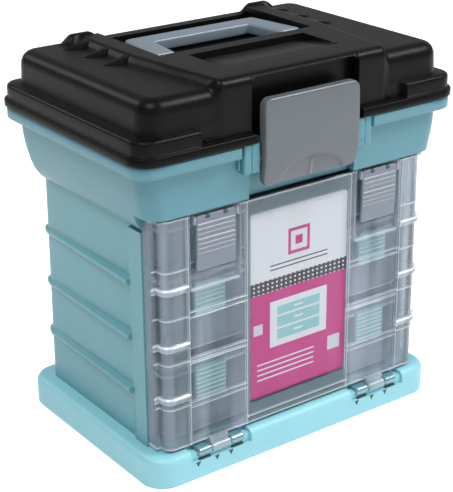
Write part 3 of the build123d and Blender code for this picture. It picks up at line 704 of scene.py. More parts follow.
@dataclass(frozen=True)
class Print:
    """Printed card: pale head, checked band and a strong field with plain shapes.

    A shape is a box of left, right, bottom and top in X and Z.

    Attributes:
        name: Name of the material.
        head: Colour of the head.
        field: Colour of the field.
        dark: Colour of the band.
        pale: Colour of the loose squares.
        drawer: Colour of the drawn drawers.
        field_top: Height up to which the field reaches.
        band: Bottom and top of the band.
        check: Spacing of the band's checks along X and Z.
        panel: Box behind the drawers.
        drawers: Three drawn drawers.
        knobs: Their three knobs.
        squares: Two loose squares.
        rules: Box of the rules in the field.
        head_rules: Box of the rules in the head.
        emblem: Centre of the emblem.
        ring: Inner and outer half-size of the emblem's frame.
        core: Half-size of the emblem's core.
    """

    name: str
    head: Colour = (0.54, 0.565, 0.61)
    field: Colour = (0.40, 0.006, 0.165)
    dark: Colour = (0.012, 0.012, 0.014)
    pale: Colour = (0.45, 0.47, 0.52)
    drawer: Colour = (0.20, 0.42, 0.46)
    field_top: float = 158.0
    band: Pair = (150.0, 162.0)
    check: Pair = (5.0, 4.0)
    panel: Box = (-30.0, 34.0, 96.0, 140.0)
    drawers: tuple[Box, ...] = (
        (-22.0, 26.0, 102.0, 112.0), (-22.0, 26.0, 114.0, 124.0), (-22.0, 26.0, 126.0, 134.0)
    )
    knobs: tuple[Box, ...] = (
        (-3.0, 7.0, 106.0, 108.0), (-3.0, 7.0, 118.0, 120.0), (-3.0, 7.0, 129.0, 131.0),
    )
    squares: tuple[Box, ...] = ((36.0, 50.0, 74.0, 88.0), (-48.0, -38.0, 112.0, 122.0))
    rules: Box = (-44.0, 20.0, 64.0, 84.0)
    head_rules: Box = (-30.0, 34.0, 168.0, 175.0)
    emblem: Pair = (1.5, 192.0)
    ring: Pair = (9.0, 12.0)
    core: float = 4.0

    @staticmethod
    def _shapes(x: Value, z: Value, *boxes: Box) -> Value:
        """1 inside any of the boxes, which lie apart, else 0."""
        masks = [x.between(*box[:2]) * z.between(*box[2:]) for box in boxes]
        return sum(masks[1:], masks[0])

    def material(self) -> bpy.types.Material:
        """Build the material: every shape is a comparison of X and Z in millimetres."""
        recipe = Recipe(self.name)
        x, _, z = recipe.place()
        band = z.between(*self.band)
        emblem = (x - self.emblem[0]).size().highest((z - self.emblem[1]).size())
        across, along = self.check
        layers = [
            (band, self.dark),
            (x.wave(across).above(0.62) * z.wave(along).above(0.55) * band, self.head),
            (self._shapes(x, z, *self.squares), self.pale),
            (self._shapes(x, z, self.rules) * z.wave(5.0).above(0.72), self.head),
            (self._shapes(x, z, self.panel), self.head),
            (self._shapes(x, z, *self.drawers), self.drawer),
            (self._shapes(x, z, *self.knobs), self.head),
            (emblem.between(*self.ring) + emblem.below(self.core), self.field),
            (self._shapes(x, z, self.head_rules) * z.wave(4.0).above(0.7), self.dark),
        ]
        colour = recipe.blend(z.below(self.field_top), self.head, self.field)
        for mask, tint in layers:
            colour = recipe.blend(mask, colour, tint)
        return recipe.plastic({
            "Base Color": colour,
            "Roughness": recipe.noise(40.0) * 0.1 + 0.3,
            "Normal": recipe.bump(recipe.noise(900.0), 0.02),
        })


@dataclass(frozen=True)
class Steel:
    """Drawn steel wire, with a fine noise in its gloss."""

    name: str
    colour: Colour = (0.62, 0.62, 0.63)

    def material(self) -> bpy.types.Material:
        """Build the material."""
        recipe = Recipe(self.name)
        grain = recipe.noise(500.0, 2.0)
        return recipe.plastic({
            "Base Color": self.colour + (1.0,),
            "Metallic": 1.0,
            "Roughness": grain * 0.2 + 0.2,
            "Normal": recipe.bump(grain, 0.01),
        })


class Finishes:
    """Every material of the rack."""

    def __init__(self) -> None:
        """Make each material once."""
        self.teal = Moulding("teal_plastic", (0.120, 0.318, 0.366)).material()
        # Painted shade: a darker copy of the teal plastic for the collar.
        self.shaded_collar_teal = Moulding("teal_collar", (0.090, 0.256, 0.312)).material()
        # Painted light: a lighter copy of the teal plastic for the base, standing in for light bounced up
        # from the floor.
        self.lit_base_teal = Moulding(
            "teal_base", (0.262, 0.570, 0.645), roughness=0.44, grain=500.0, depth=0.05
        ).material()
        self.black = LidMoulding(
            "black_plastic", (0.0042, 0.0039, 0.0040), roughness=0.30, grain=1500.0, depth=0.10,
            mottle=0.12, level=0.10,
        ).material()
        self.grey = Moulding(
            "grey_latch", (0.100, 0.115, 0.127), roughness=0.30, depth=0.008, mottle=0.02
        ).material()
        self.door_grey = Moulding(
            "grey_door_latch", (0.170, 0.198, 0.24), roughness=0.34, depth=0.008
        ).material()
        self.handle = Moulding(
            "blue_grey_handle", (0.150, 0.190, 0.230), roughness=0.30, depth=0.008
        ).material()
        # Near-black paint for gaps, openings and slots: painted shadow where the real part has only an
        # opening in shade.
        self.painted_shadow = Moulding(
            "dark_notch", (0.02, 0.05, 0.06), roughness=0.5, grain=400.0, mottle=0.04
        ).material()
        self.hinge = Moulding(
            "glossy_hinge", (0.10, 0.26, 0.31), roughness=0.16, grain=200.0, depth=0.05, mottle=0.10,
            coat=0.8, level=0.9,
        ).material()
        # Door: painted reflection in streaks, painted shade over the columns and margin, painted highlight
        # on ribs and edges.
        self.door = Clear(
            "clear_door", (0.050, 0.105, 0.135), (0.46, 0.53, 0.65), (0.74, 0.81, 0.86), alpha=0.26,
            rim_alpha=0.92, column=117.0, column_alpha=0.55, frame=56.6, contrast=3.4,
        ).material()
        # Boxes: painted reflection in streaks, painted highlight on the marked rims.
        self.box = Clear(
            "clear_box", (0.21, 0.28, 0.35), (0.43, 0.49, 0.60), (0.68, 0.75, 0.80), alpha=0.66,
            rim_alpha=0.92, roughness=0.2,
        ).material()
        # Box latches: the marked ledge crests turn pale as painted highlight.
        self.box_latch = Clear(
            "teal_box_latch", (0.19, 0.50, 0.53), (0.27, 0.62, 0.64), (0.78, 0.95, 0.95), alpha=0.96,
            rim_alpha=1.0, roughness=0.25,
        ).material()
        self.card = Print("printed_card").material()
        self.steel = Steel("steel_pin").material()


@dataclass
class Base:
    """Base plinth with its rounded deck edge and two hinge recesses."""

    half: float = 159.5
    front: float = -109.0
    back: float = 111.0
    radius: float = 22.6
    height: float = 28.0
    edge: float = 6.5
    wall: float = 3.2
    arc: int = 5
    recess: Pair = (58.0, 122.0)
    recess_back: float = -95.0
    recess_floor: float = 17.2
    recess_reach: float = 131.0
    pin_half: float = 24.0
    pin_radius: float = 2.6
    barrel: Pair = (10.7, 24.2)
    barrel_radius: float = 4.0
    cheek: float = 3.8
    gap: Pair = (11.5, 23.5)
    gap_top: float = 18.6
    # Places of the dark wedges under the recesses: painted shadow where the gap under the barrels lies in
    # shade.
    shadow_notches: tuple[float, ...] = (-115.5, -95.5, -80.6, 64.6, 83.0, 99.5)
    shadow_notch_half: float = 2.6
    shadow_notch_drop: float = 5.0

    def plan(self) -> Plan:
        """Grid lines, close together at the ends of the recesses."""
        inner, outer = self.recess
        columns = mirrored((0.0, 20.0, 40.0, 56.0, inner - 0.3, inner, inner + 0.3, 62.0, 75.0, 90.0, 105.0,
                            118.0, outer - 0.3, outer, outer + 0.3, 124.5, 130.0))
        rows = (self.front + self.radius + 0.5, -80.0, -40.0, 0.0, 40.0, 80.0)
        return Plan(columns, rows, 1, self.arc)

    def shell(self) -> Skin:
        """Closed plinth: rings from the inside of the foot round its edge and up to the deck.

        The deck's rim is a quarter circle: inset e (1 - cos a) and height h - e (1 - sin a).
        In a recess every point higher than the recess floor drops to the floor.
        """
        plan, skin = self.plan(), Skin()
        turn = np.linspace(0, math.pi / 2, 8)
        under = self.wall + 0.01
        insets = [under, self.wall, 1.0, 0.0, 0.0, 0.0, *(self.edge * (1 - np.cos(turn)))]
        heights = [self.height - self.wall, 0.0, 0.0, 1.0, 8.0, self.recess_floor,
                   *(self.height - self.edge * (1 - np.sin(turn)))]
        wall = np.array([
            plan.level(self._box(inset), max(self.radius - inset, 1.0), height)
            for inset, height in zip(insets, heights)
        ])
        outer = wall[2:]
        outer[..., 2] = self._recessed(*np.moveaxis(outer, -1, 0))
        skin.grid(wall, wrap=True)
        skin.grid(self._fine_deck(plan.grid(self._box(self.edge), self.radius - self.edge)))
        skin.grid(plan.deck(self._box(under), self.radius - under, self.height - self.wall))
        return skin

    def _fine_deck(self, deck: Points) -> Points:
        """Deck whose front rows, over the recesses, run parallel to the recesses' back edge.

        They are spread evenly from the deck's front edge, and the last two lie 0.2 before
        and behind the recesses' back edge.
        """
        front, end = self.front + self.edge, self.recess_back - 0.2
        places = {row: front + row / self.arc * (end - front) for row in range(1, self.arc + 1)}
        places[self.arc + 1] = self.recess_back + 0.2
        for row, place in places.items():
            near = np.abs(deck[row, :, 0]) < self.recess_reach
            deck[row, :, 1] = np.where(near, place, deck[row, :, 1])
        x, y = deck[..., 0], deck[..., 1]
        return upright(x, y, self._recessed(x, y, np.full(x.shape, self.height)))

    def _box(self, inset: float) -> Box:
        """Outline drawn in by an inset."""
        return inset - self.half, self.half - inset, self.front + inset, self.back - inset

    def _shadow_notch(self, place: float) -> Points:
        """Small dark wedge of painted shadow under the recess: at share t it is w (1 - t) wide and d t
        lower.
        """
        share = np.linspace(0, 1, 4)[:, None]
        across = self.shadow_notch_half * np.array([-1, -1, 1, 1]) * (1 - share)
        depth = self.front + np.array([0.3, -0.15, -0.15, 0.3])
        return upright(place + across, depth, self.recess_floor - 0.2 - self.shadow_notch_drop * share)

    def _recessed(self, x: Points, y: Points, z: Points) -> Points:
        """Heights cut down to the recess floor inside the recesses."""
        inner, outer = self.recess
        inside = (np.abs(x) > inner) & (np.abs(x) < outer) & (y < self.recess_back)
        return np.where(inside, np.minimum(z, self.recess_floor), z)

    def build(self, finishes: Finishes) -> None:
        """Make the plinth, its hinge barrels and the painted shadow round them: dark wedges under the
        recesses and dark blocks in the gaps beside the barrels.
        """
        # The base wears the lighter copy of the teal plastic: painted light.
        teal = finishes.lit_base_teal
        self.shell().build("base_plinth_shell", "housing", teal, ["base_plinth"], "teal_plastic", 42.0)
        barrels, shadow_notches = Skin(), Skin()
        for place in self.shadow_notches:
            shadow_notches.grid(self._shadow_notch(place))
        for side in Side:
            centre = side.value * DOOR_HINGE_CENTRE
            ends = centre - self.pin_half, centre + self.pin_half
            barrels.rod(*ends, *DOOR_HINGE, self.pin_radius)
            for end in Side:
                low, high = end.span(*self.barrel)
                x = centre + low, centre + high
                barrels.rod(*x, *DOOR_HINGE, self.barrel_radius, 1.0)
                z = DOOR_HINGE[1] - self.cheek, DOOR_HINGE[1] + self.cheek
                barrels.block(x, (DOOR_HINGE[0], self.recess_back + 1), z)
                # Dark block in the gap beside each barrel: painted shadow.
                low, high = end.span(*self.gap)
                y, z = (self.front + 1.0, self.recess_back + 1.0), (self.recess_floor - 0.1, self.gap_top)
                shadow_notches.block((centre + low, centre + high), y, z, 0.2)
        barrels.build("hinge_barrels", "housing", finishes.hinge, [], "teal_plastic")
        shadow_notches.build("hinge_notches", "housing", finishes.painted_shadow, [], "teal_plastic")


@dataclass
class Cabinet:
    """Cabinet walls: a U-shaped plan carried up a drafted profile with three ribs."""

    low: float = 28.0
    high: float = 226.5
    front: float = -77.5
    half: float = 142.5
    back: float = 96.0
    draft: float = 2.0
    radius: float = 15.0
    inner_half: float = 139.7
    inner_back: float = 93.2
    post_back: float = -57.0
    post_half: float = 147.0
    ribs: tuple[float, ...] = (75.5, 126.0, 177.0)
    rib_front: float = 6.6
    rib_back: float = 2.7
    rib_end: float = 80.0
    rails: tuple[float, ...] = (93.7, 172.7, 226.2)
    rail: Pair = (132.5, 140.5)
    rail_back: float = 85.0
    rail_height: float = 3.0

    def levels(self) -> Points:
        """Heights of the rows, close together at each rib."""
        places = [self.low, self.low + 3, 50.0, 100.0, 150.0, 205.0, self.high - 0.5, self.high]
        steps = (-4.6, -3.8, -3.0, -2.2, -1.4, -0.6, 0.2, 0.8, 1.2, 1.6, 2.4, 2.8, 3.2)
        return np.array(sorted(places + [crest + step for crest in self.ribs for step in steps]))

    @staticmethod
    def rib(height: Points) -> Points:
        """Rib section by height over its crest: round below, flat face above."""
        below = np.sqrt(np.clip(1 - (np.minimum(height, 0.0) / 4.2) ** 2, 0, 1))
        above = 1 - smooth(1.0, 2.9, height)
        return np.where(height < 0, below, above)

    def path(self) -> tuple[Points, Points, Points]:
        """Plan of the wall, from the left front edge round the back to the right one.

        A sample's wall point is its centre plus the radius times its outward direction. The
        centres run straight along the sides and the back, and stand still in the corners.

        Returns:
            Outward directions, X of the centres and Y of the centres.
        """
        edge, corner = self.post_back, self.back - self.radius
        sides = np.array([self.front, self.front + 0.8, -70.0, -63.0, edge - 1.6, edge - 0.2, edge + 0.2,
                          edge + 1.0, edge + 3.0, -45.0, -30.0, -10.0, 15.0, 40.0, 60.0, corner])
        turn = np.linspace(0, math.pi / 2, 9)[1:-1]
        across = np.linspace(-1, 1, 9)
        rows, bend, rear = len(sides), len(turn), len(across)
        sign = np.concatenate([-np.ones(rows + bend), across, np.ones(rows + bend)])
        quarter, back = np.cos(turn), np.zeros(rear)
        out_x = np.concatenate([-np.ones(rows), -quarter, back, quarter[::-1], np.ones(rows)])
        quarter, back = np.sin(turn), np.ones(rear)
        out_y = np.concatenate([np.zeros(rows), quarter, back, quarter[::-1], np.zeros(rows)])
        depth = np.concatenate([sides, np.full(2 * bend + rear, corner), sides[::-1]])
        return np.stack([out_x, out_y], axis=-1), sign * (self.half - self.radius), depth

    def wall(self) -> Skin:
        """Closed wall between the outer and the inner surface.

        The outer surface stands out by the draft d (1 - t) at share t of the height, by the
        front posts, or by a rib, whose reach falls evenly from the posts to the back.
        """
        skin = Skin()
        outward, centre, depth = self.path()
        z = self.levels()[:, None]
        draft = self.draft * (1 - (z - self.low) / (self.high - self.low))
        post = 1 - smooth(self.post_back - 1.6, self.post_back + 1.0, depth)
        taper = np.clip((self.rib_end - depth) / (self.rib_end - self.post_back), 0, 1)
        reach = self.rib_back + (self.rib_front - self.rib_back) * taper
        reach = np.where(depth < self.post_back, 0.0, reach)
        ribs = np.max([self.rib(z - crest) for crest in self.ribs], axis=0)
        stand = np.maximum(post * (self.post_half - self.half - draft), ribs * reach)
        size = self.radius + draft + stand
        outer = upright(centre + outward[:, 0] * size, depth + outward[:, 1] * size, z)
        inner_x = centre + outward[:, 0] * (self.inner_half - self.half + self.radius)
        inner_y = depth + outward[:, 1] * (self.inner_back - self.back + self.radius)
        inner = upright(inner_x, inner_y, z)
        skin.grid(np.concatenate([outer, inner[:, ::-1]], axis=1), wrap=True)
        for row in (0, -1):
            skin.grid(np.stack([outer[row], inner[row]]))
        return skin

    def build(self, finishes: Finishes) -> None:
        """Make the walls and the slide rails."""
        teal = finishes.teal
        self.wall().build("cabinet_walls", "housing", teal, ["cabinet_shell"], "teal_plastic", 50.0)
        rails = Skin()
        for top in self.rails:
            for side in Side:
                depth = self.front + 0.5, self.rail_back
                rails.block(side.span(*self.rail), depth, (top - self.rail_height, top))
        rails.build("slide_rails", "housing", teal, [], "teal_plastic")


@dataclass
class Collar:
    """Flared tray on top of the cabinet, with its rim, latch alcove and pivot lugs.

    Attributes:
        curve: Height, half-width and share of the flare for each level of the wall.
        skirt: Box of the underside.
        hollow: Half-width, front, back, corner radius and height of each ring of the inside.
    """

    low: float = 226.5
    front_low: float = 243.5
    top: float = 294.0
    band_low: float = 283.4
    rim_half: float = 168.0
    rim_depth: float = 113.3
    alcove_half: float = 56.5
    alcove_back: float = -97.0
    band_gap: float = 69.5
    gap_front: float = -105.0
    wall: float = 2.8
    skirt: Box = (-139.7, 139.7, -100.0, 93.2)
    skirt_radius: float = 12.2
    curve: tuple[tuple[float, float, float], ...] = (
        (226.5, 142.6, 0.0), (227.5, 143.6, 0.08), (231.0, 147.2, 0.3), (237.0, 150.9, 0.52),
        (244.0, 153.3, 0.68), (251.0, 155.0, 0.79), (260.0, 156.9, 0.90), (270.0, 158.4, 0.97),
        (279.0, 159.0, 1.0), (282.6, 159.2, 1.0),
    )
    hollow: tuple[tuple[float, float, float, float, float], ...] = (
        (157.4, -103.2, 103.2, 14.5, 294.0), (156.2, -102.0, 102.0, 14.2, 280.0),
        (153.0, -101.0, 100.0, 14.0, 252.0), (150.0, -99.0, 98.0, 12.0, 247.0),
    )
    lug: Pair = (60.2, 68.0)
    lug_arm: Pair = (52.2, 60.4)
    lug_stop: Pair = (68.0, 70.5)
    lug_low: float = 269.0
    knuckle: Pair = (90.3, 104.2)
    knuckle_radius: float = 3.0

    def plan(self) -> Plan:
        """Grid lines, close together at the alcove and at the ends of the rim band."""
        gap, half = self.band_gap, self.alcove_half
        columns = mirrored((0.0, 16.0, 32.0, 48.0, half - 0.3, half, half + 0.3, 59.0, 62.0, gap - 3.0,
                            gap - 1.5, gap, gap + 1.2, 84.0, 100.0, 116.0, 124.0))
        rows = (-78.6, -78.2, -60.0, -30.0, 0.0, 30.0, 60.0, 78.0)
        return Plan(columns, rows, 1, 6)

    def outside(self, plan: Plan) -> Points:
        """Rings of the underside, the flared wall and the rim band, with the alcove cut in.

        The wall's half-width at each height is read from the curve. Points of the front that
        would lie below the front edge are raised to it, and points in front of the alcove
        are pushed back to its wall.
        """
        skirt = [plan.level(self.skirt, self.skirt_radius, z) for z in (self.front_low, self.low)]
        flare = [
            plan.level((-half, half, -101.5 - 3.5 * share, 96.0 + 9.0 * share), 15.0 + 2.0 * share, z)
            for z, half, share in self.curve
        ]
        lower = np.array(skirt + flare)
        front = lower[..., 1] < -78.4
        lower[..., 2] = np.where(front, np.maximum(lower[..., 2], self.front_low), lower[..., 2])
        low = self.band_low
        rim = []
        for inset, z in ((0.9, low), (0.0, low + 1.0), (0.0, self.top - 1.2), (1.2, self.top)):
            half, depth = self.rim_half - inset, self.rim_depth - inset
            rim.append(plan.level((-half, half, -depth, depth), 17.0 - inset, z))
        rim = np.array(rim)
        count = plan.front_count()
        x = np.abs(rim[:, :count, 0])
        gone = 1 - smooth(self.band_gap - 1.0, self.band_gap + 1.0, x)
        rim[:, :count, 1] = rim[:, :count, 1] * (1 - gone) + gone * self.gap_front
        wall = np.concatenate([lower, rim])
        x, y = np.abs(wall[2:, :count, 0]), wall[2:, :count, 1]
        inside = x < self.alcove_half + 0.15
        wall[2:, :count, 1] = np.where(inside, np.maximum(y, self.alcove_back), y)
        return wall

    def inside(self, plan: Plan) -> Points:
        """Rings of the tray's inner wall from the rim down to the floor."""
        hollow = np.array([
            plan.level((-half, half, front, back), radius, z)
            for half, front, back, radius, z in self.hollow
        ])
        count = plan.front_count()
        x, y = np.abs(hollow[:, :count, 0]), hollow[:, :count, 1]
        near = x < self.alcove_half + 3.0
        hollow[:, :count, 1] = np.where(near, self.alcove_back + self.wall, y)
        return hollow

    def shell(self) -> Skin:
        """Closed collar: underside, skirt, flared wall, rim band, inner wall and floor."""
        plan, skin = self.plan(), Skin()
        hollow = self.inside(plan)
        skin.grid(np.concatenate([self.outside(plan), hollow]), wrap=True)
        skin.grid(plan.deck(self.skirt, self.skirt_radius, self.front_low))
        half, front, back, radius, level = self.hollow[-1]
        floor = plan.deck((-half, half, front, back), radius, level)
        floor[0, :, 1] = hollow[-1, : plan.front_count(), 1]
        floor[1, :, 1] = np.maximum(floor[1, :, 1], floor[0, :, 1] + 0.3)
        skin.grid(floor)
        return skin

    def build(self, finishes: Finishes) -> None:
        """Make the collar, its lugs and its hinge knuckles."""
        # The collar wears the darker copy of the teal plastic: painted shade.
        teal = finishes.shaded_collar_teal
        self.shell().build("tray_collar", "housing", teal, ["top_tray"], "teal_plastic", 45.0)
        lugs = Skin()
        face, low, high = -self.rim_depth, self.lug_low, self.top - 0.1
        for side in Side:
            arm = side.span(*self.lug_arm)
            lugs.block(side.span(*self.lug), (face, -103.0), (low, high), 0.8)
            lugs.block(arm, (face, -104.0), (high - 6.9, high), 0.6)
            lugs.block(arm, (face, -104.0), (low, low + 7.0), 0.6)
            lugs.block(arm, (face, face + 0.8), (low + 6.4, high - 6.3), 0.3)
            lugs.block(side.span(*self.lug_stop), (-108.5, -104.0), (272.0, self.band_low), 0.6)
            lugs.rod(*side.span(*self.knuckle), *LID_HINGE, self.knuckle_radius)
        lugs.build("tray_lugs", "housing", teal, [], "teal_plastic")


@dataclass
class Lid:
    """Moulded lid: lip, band, domed wall, raised middle, gussets, recess, scoop and latch pocket.

    Attributes:
        profile: Half-width, half-depth, corner radius and height of each ring up the outside.
        dome: Half-width, half-depth and corner radius at the foot of the rolled edge.
        lining: The same four sizes for each ring down the inside.
        crest: Half-width of the raised middle at the front and at the back.
        recess: Left, right, front and back of the handle's recess.
        scoop: Half-width, front and back of the finger scoop.
    """

    profile: tuple[Box, ...] = (
        (169.0, 114.3, 18.5, 294.3), (170.0, 115.3, 19.5, 295.3), (170.0, 115.3, 19.5, 300.8),
        (169.2, 114.5, 18.7, 301.8), (167.6, 112.9, 17.1, 302.1), (167.0, 112.3, 16.5, 302.8),
        (167.0, 112.3, 16.5, 311.5), (166.5, 111.8, 16.0, 313.2), (165.2, 110.5, 14.7, 314.3),
        (163.4, 108.7, 12.9, 314.7), (158.2, 107.4, 18.9, 314.9), (156.9, 106.4, 18.4, 315.6),
        (156.5, 106.0, 18.0, 317.5), (156.0, 105.8, 18.0, 324.0),
    )
    lining: tuple[Box, ...] = (
        (146.5, 96.5, 8.5, 340.7), (152.5, 102.0, 14.5, 336.0), (153.0, 103.0, 15.0, 326.0),
        (153.3, 103.2, 15.2, 311.9), (164.0, 109.3, 13.5, 311.6), (164.2, 109.5, 13.7, 310.0),
        (164.2, 109.5, 13.7, 295.0), (165.0, 110.3, 14.5, 294.3),
    )
    lip_rings: int = 5
    dome: tuple[float, float, float] = (155.6, 105.6, 17.6)
    dome_front: float = -106.3
    dome_low: float = 318.0
    deck: float = 343.5
    top: float = 350.0
    wall: float = 2.8
    roll: float = 12.0
    pilaster: float = -108.0
    pilaster_roll: float = 8.0
    pocket_half: float = 56.5
    pocket_back: float = -97.6
    pocket_top: float = 347.3
    pocket_corner: float = 6.0
    step_half: float = 108.0
    crest: Pair = (84.0, 98.0)
    slope: float = 8.0
    ridge: float = 8.5
    ridge_centre: float = 98.0
    recess: Box = (-81.7, 81.7, -13.0, 84.0)
    recess_floor: float = 335.0
    scoop: tuple[float, float, float] = (61.0, -75.0, -27.0)
    scoop_depth: float = 5.5
    gussets: tuple[float, ...] = (8.0, 40.0, 72.0)
    gusset_tip: float = 124.0
    gusset_length: float = 28.0
    gusset_half: float = 4.6
    gusset_chamfer: float = 0.8
    bar: Pair = (92.5, 103.0)
    bar_back: float = -104.5
    bar_levels: Pair = (302.4, 304.6)
    knuckle: Pair = (75.8, 89.7)
    knuckle_radius: float = 3.0

    def plan(self) -> Plan:
        """Grid lines, close together at every edge on the lid."""
        columns = (0.0, 8.0, 16.0, 24.0, 32.0, 40.0, 47.0, 50.5, 52.0, 53.5, 55.0, 56.3, 56.7, 58.5, 60.7,
                   61.3, 64.0, 70.0, 76.0, 80.5, 81.5, 81.9, 83.0, 84.5, 86.0, 87.5, 89.0, 90.5, 92.0, 94.0,
                   96.0, 97.5, 99.0, 101.0, 103.0, 105.0, 106.8, 107.6, 108.4, 109.2, 111.0, 113.5, 116.0,
                   119.0, 122.0, 125.0)
        rows = (-86.0, -80.0, -75.3, -74.7, -68.0, -60.0, -50.0, -40.0, -32.0, -27.3, -26.7, -20.0, -13.3,
                -12.7, -6.0, -1.0, 12.0, 26.0, 42.0, 58.0, 70.0, 76.0, 78.0, 80.0, 82.0, 83.8, 84.2, 85.3,
                86.2, 87.0, 87.5)
        return Plan(mirrored(columns), rows, 1, 5)

    def gusset(self, side: Side, place: float) -> Points:
        """Wedge from its tip, at share t = 0, up to the raised middle, at t = 1.

        Its half-width is w t and its top rises evenly from the deck to the raised middle.
        """
        share = np.array([0.0, 0.03, 0.2, 0.45, 0.7, 1.0])[:, None]
        half = self.gusset_half * share + 0.12
        flat = half - np.minimum(half, self.gusset_chamfer)
        depth = np.concatenate([-half - 0.6, -half, -flat, flat, half, half + 0.6], axis=1)
        crown = self.deck + 0.2 + (self.top - self.deck - 0.2) * share
        eave, low = crown - (half - flat), np.full_like(crown, self.deck - 0.8)
        height = np.concatenate([low, eave, crown, crown, eave, low], axis=1)
        across = side.value * (self.gusset_tip - self.gusset_length * share)
        return upright(across, place + depth, height)

    def raised(self, x: Points, y: Points) -> Points:
        """Share of the raised middle: 1 inside its crest line, eased to 0 over the slope."""
        share = np.clip((y - self.pilaster) / 106.5, 0, 1)
        crest = self.crest[0] + (self.crest[1] - self.crest[0]) * share
        return 1 - smooth(0.0, self.slope, np.abs(x) - crest)

    def height(self, x: Points, y: Points) -> Points:
        """Height of the deck: the raised middle with its rear ridges, less scoop and recess.

        The scoop is a ramp that falls from its front edge to its back edge.
        """
        across = np.abs(x)
        _, right, near, far = self.recess
        middle = self.raised(x, y) * (1 - smooth(far - 0.1, far + 0.1, y))
        z = self.deck + (self.top - self.deck) * middle
        ridge = self.ridge * (1 - smooth(8.0, 22.0, np.abs(across - self.ridge_centre)))
        z = np.maximum(z, self.deck + ridge * smooth(78.0, 85.0, y) * (1 - smooth(89.5, 93.9, y)))
        half, front, back = self.scoop
        inside = (across < half) & (y > front) & (y < back)
        z = np.where(inside, z - self.scoop_depth * (y - front) / (back - front) - 0.4, z)
        hole = (across < right) & (y > near) & (y < far)
        return np.where(hole, self.recess_floor, z)

    @staticmethod
    def _stack(plan: Plan, rings: Sequence[Box]) -> Points:
        """Rings of half-width, half-depth, corner radius and height as one grid."""
        return np.array([
            plan.level((-half, half, -depth, depth), radius, z) for half, depth, radius, z in rings
        ])

    def _levels(self) -> tuple[list[Box], Points, int]:
        """Every outer ring, with the rolled edge, and the section of the front.

        At angle a the rolled edge is drawn in by r (1 - cos a) and lies r (1 - sin a) below
        the deck. The pilaster's own edge does the same with its own radius.

        Returns:
            The rings, the pilaster's Y and Z for each ring, and the number of the pocket's
            ceiling ring.
        """
        rings = list(self.profile)
        front = [(-ring[1], ring[3]) for ring in rings[: self.lip_rings]]
        heights = (302.8, 306.0, 310.0, 314.0, 318.0, 322.0, 326.0, 330.0, 336.0)
        front += [(self.pilaster, z) for z in heights]
        ceiling = math.asin((self.pocket_top - self.top + self.pilaster_roll) / self.pilaster_roll)
        first = len(front)
        for turn in (0.0, 0.26, 0.52, ceiling, ceiling, 0.95, 1.15, 1.36, math.pi / 2):
            inset, drop = 1 - math.cos(turn), 1 - math.sin(turn)
            sizes = (size - self.roll * inset for size in self.dome)
            rings.append((*sizes, self.deck - self.roll * drop))
            front.append((self.pilaster + self.pilaster_roll * inset, self.top - self.pilaster_roll * drop))
        rings.append(rings[-1])
        front.append((-rings[-1][1], self.top))
        return rings, np.array(front), first + 3

    def outer(self, plan: Plan) -> Points:
        """Outer wall as rings, with the front's pilasters and pocket worked in.

        Over the front, y and z are blended between three sections by X: the band's, the
        plain dome's and the pilaster's. Inside the pocket each ring below the ceiling goes
        back to the pocket's wall, and the ceiling follows a quarter circle at its corners.
        """
        rings, front, ceiling = self._levels()
        wall = self._stack(plan, rings)
        count = plan.front_count()
        x, y, z = (wall[:, :count, axis] for axis in range(3))
        rows = np.arange(len(rings))[:, None]
        above, across = rows >= self.lip_rings, np.abs(x)
        plain = (1 - smooth(self.step_half - 1.2, self.step_half + 1.2, across)) * above
        behind = y * (1 - plain) + plain * np.maximum(y, self.dome_front)
        y = np.where(z < self.dome_low, behind, y)
        share = self.raised(x, np.maximum(y, self.pilaster)) * above
        y = y * (1 - share) + share * front[:, :1]
        z = z * (1 - share) + share * front[:, 1:]
        z[-1] = self.height(x[-1], y[-1])
        corner = np.clip(across - self.pocket_half + self.pocket_corner, 0, self.pocket_corner)
        roof = self.pocket_top - self.pocket_corner + np.sqrt(self.pocket_corner**2 - corner**2)
        inside = across < self.pocket_half + 0.15
        z = np.where(inside & (rows <= ceiling + 1), np.minimum(z, roof), z)
        z = np.where(inside & (rows >= ceiling) & (rows <= ceiling + 1), roof, z)
        rise = np.clip((z - self.top + self.pilaster_roll) / self.pilaster_roll, 0, 1)
        edge = self.pilaster + self.pilaster_roll * (1 - np.sqrt(1 - rise**2))
        y = np.where(inside & (rows == ceiling + 1), edge, y)
        y = np.where(inside & (rows <= ceiling), self.pocket_back, y)
        wall[:, :count, 1], wall[:, :count, 2] = y, z
        return wall

    def inner(self, plan: Plan) -> Points:
        """Inner wall as rings from the ceiling down to the lip."""
        wall = self._stack(plan, self.lining)
        count = plan.front_count()
        across, y = np.abs(wall[:, :count, 0]), wall[:, :count, 1]
        plain = across < self.step_half + self.wall
        y = np.where(plain, np.maximum(y, self.dome_front + 3.1), y)
        pocket = across < self.pocket_half + self.wall
        wall[:, :count, 1] = np.where(pocket, np.maximum(y, self.pocket_back + self.wall), y)
        return wall

    def shell(self) -> Skin:
        """Closed lid: inner deck, inner wall, lip, outer wall and outer deck."""
        plan, skin = self.plan(), Skin()
        lining = self.inner(plan)
        skin.grid(np.concatenate([lining, self.outer(plan)]), wrap=True)
        half, depth, radius = (size - self.roll for size in self.dome)
        deck = plan.grid((-half, half, -depth, depth), radius)
        x, y = deck[..., 0], deck[..., 1]
        skin.grid(upright(x, y, self.height(x, y)))
        half, depth, radius, ceiling = self.lining[0]
        under = plan.grid((-half, half, -depth, depth), radius)
        under[0, :, 1] = lining[0, : plan.front_count(), 1]
        x, y = under[..., 0], under[..., 1]
        roof = np.minimum(ceiling, self.height(x, y) - self.wall)
        skin.grid(upright(x, y, np.where(np.abs(y) > 93, ceiling, roof)))
        return skin

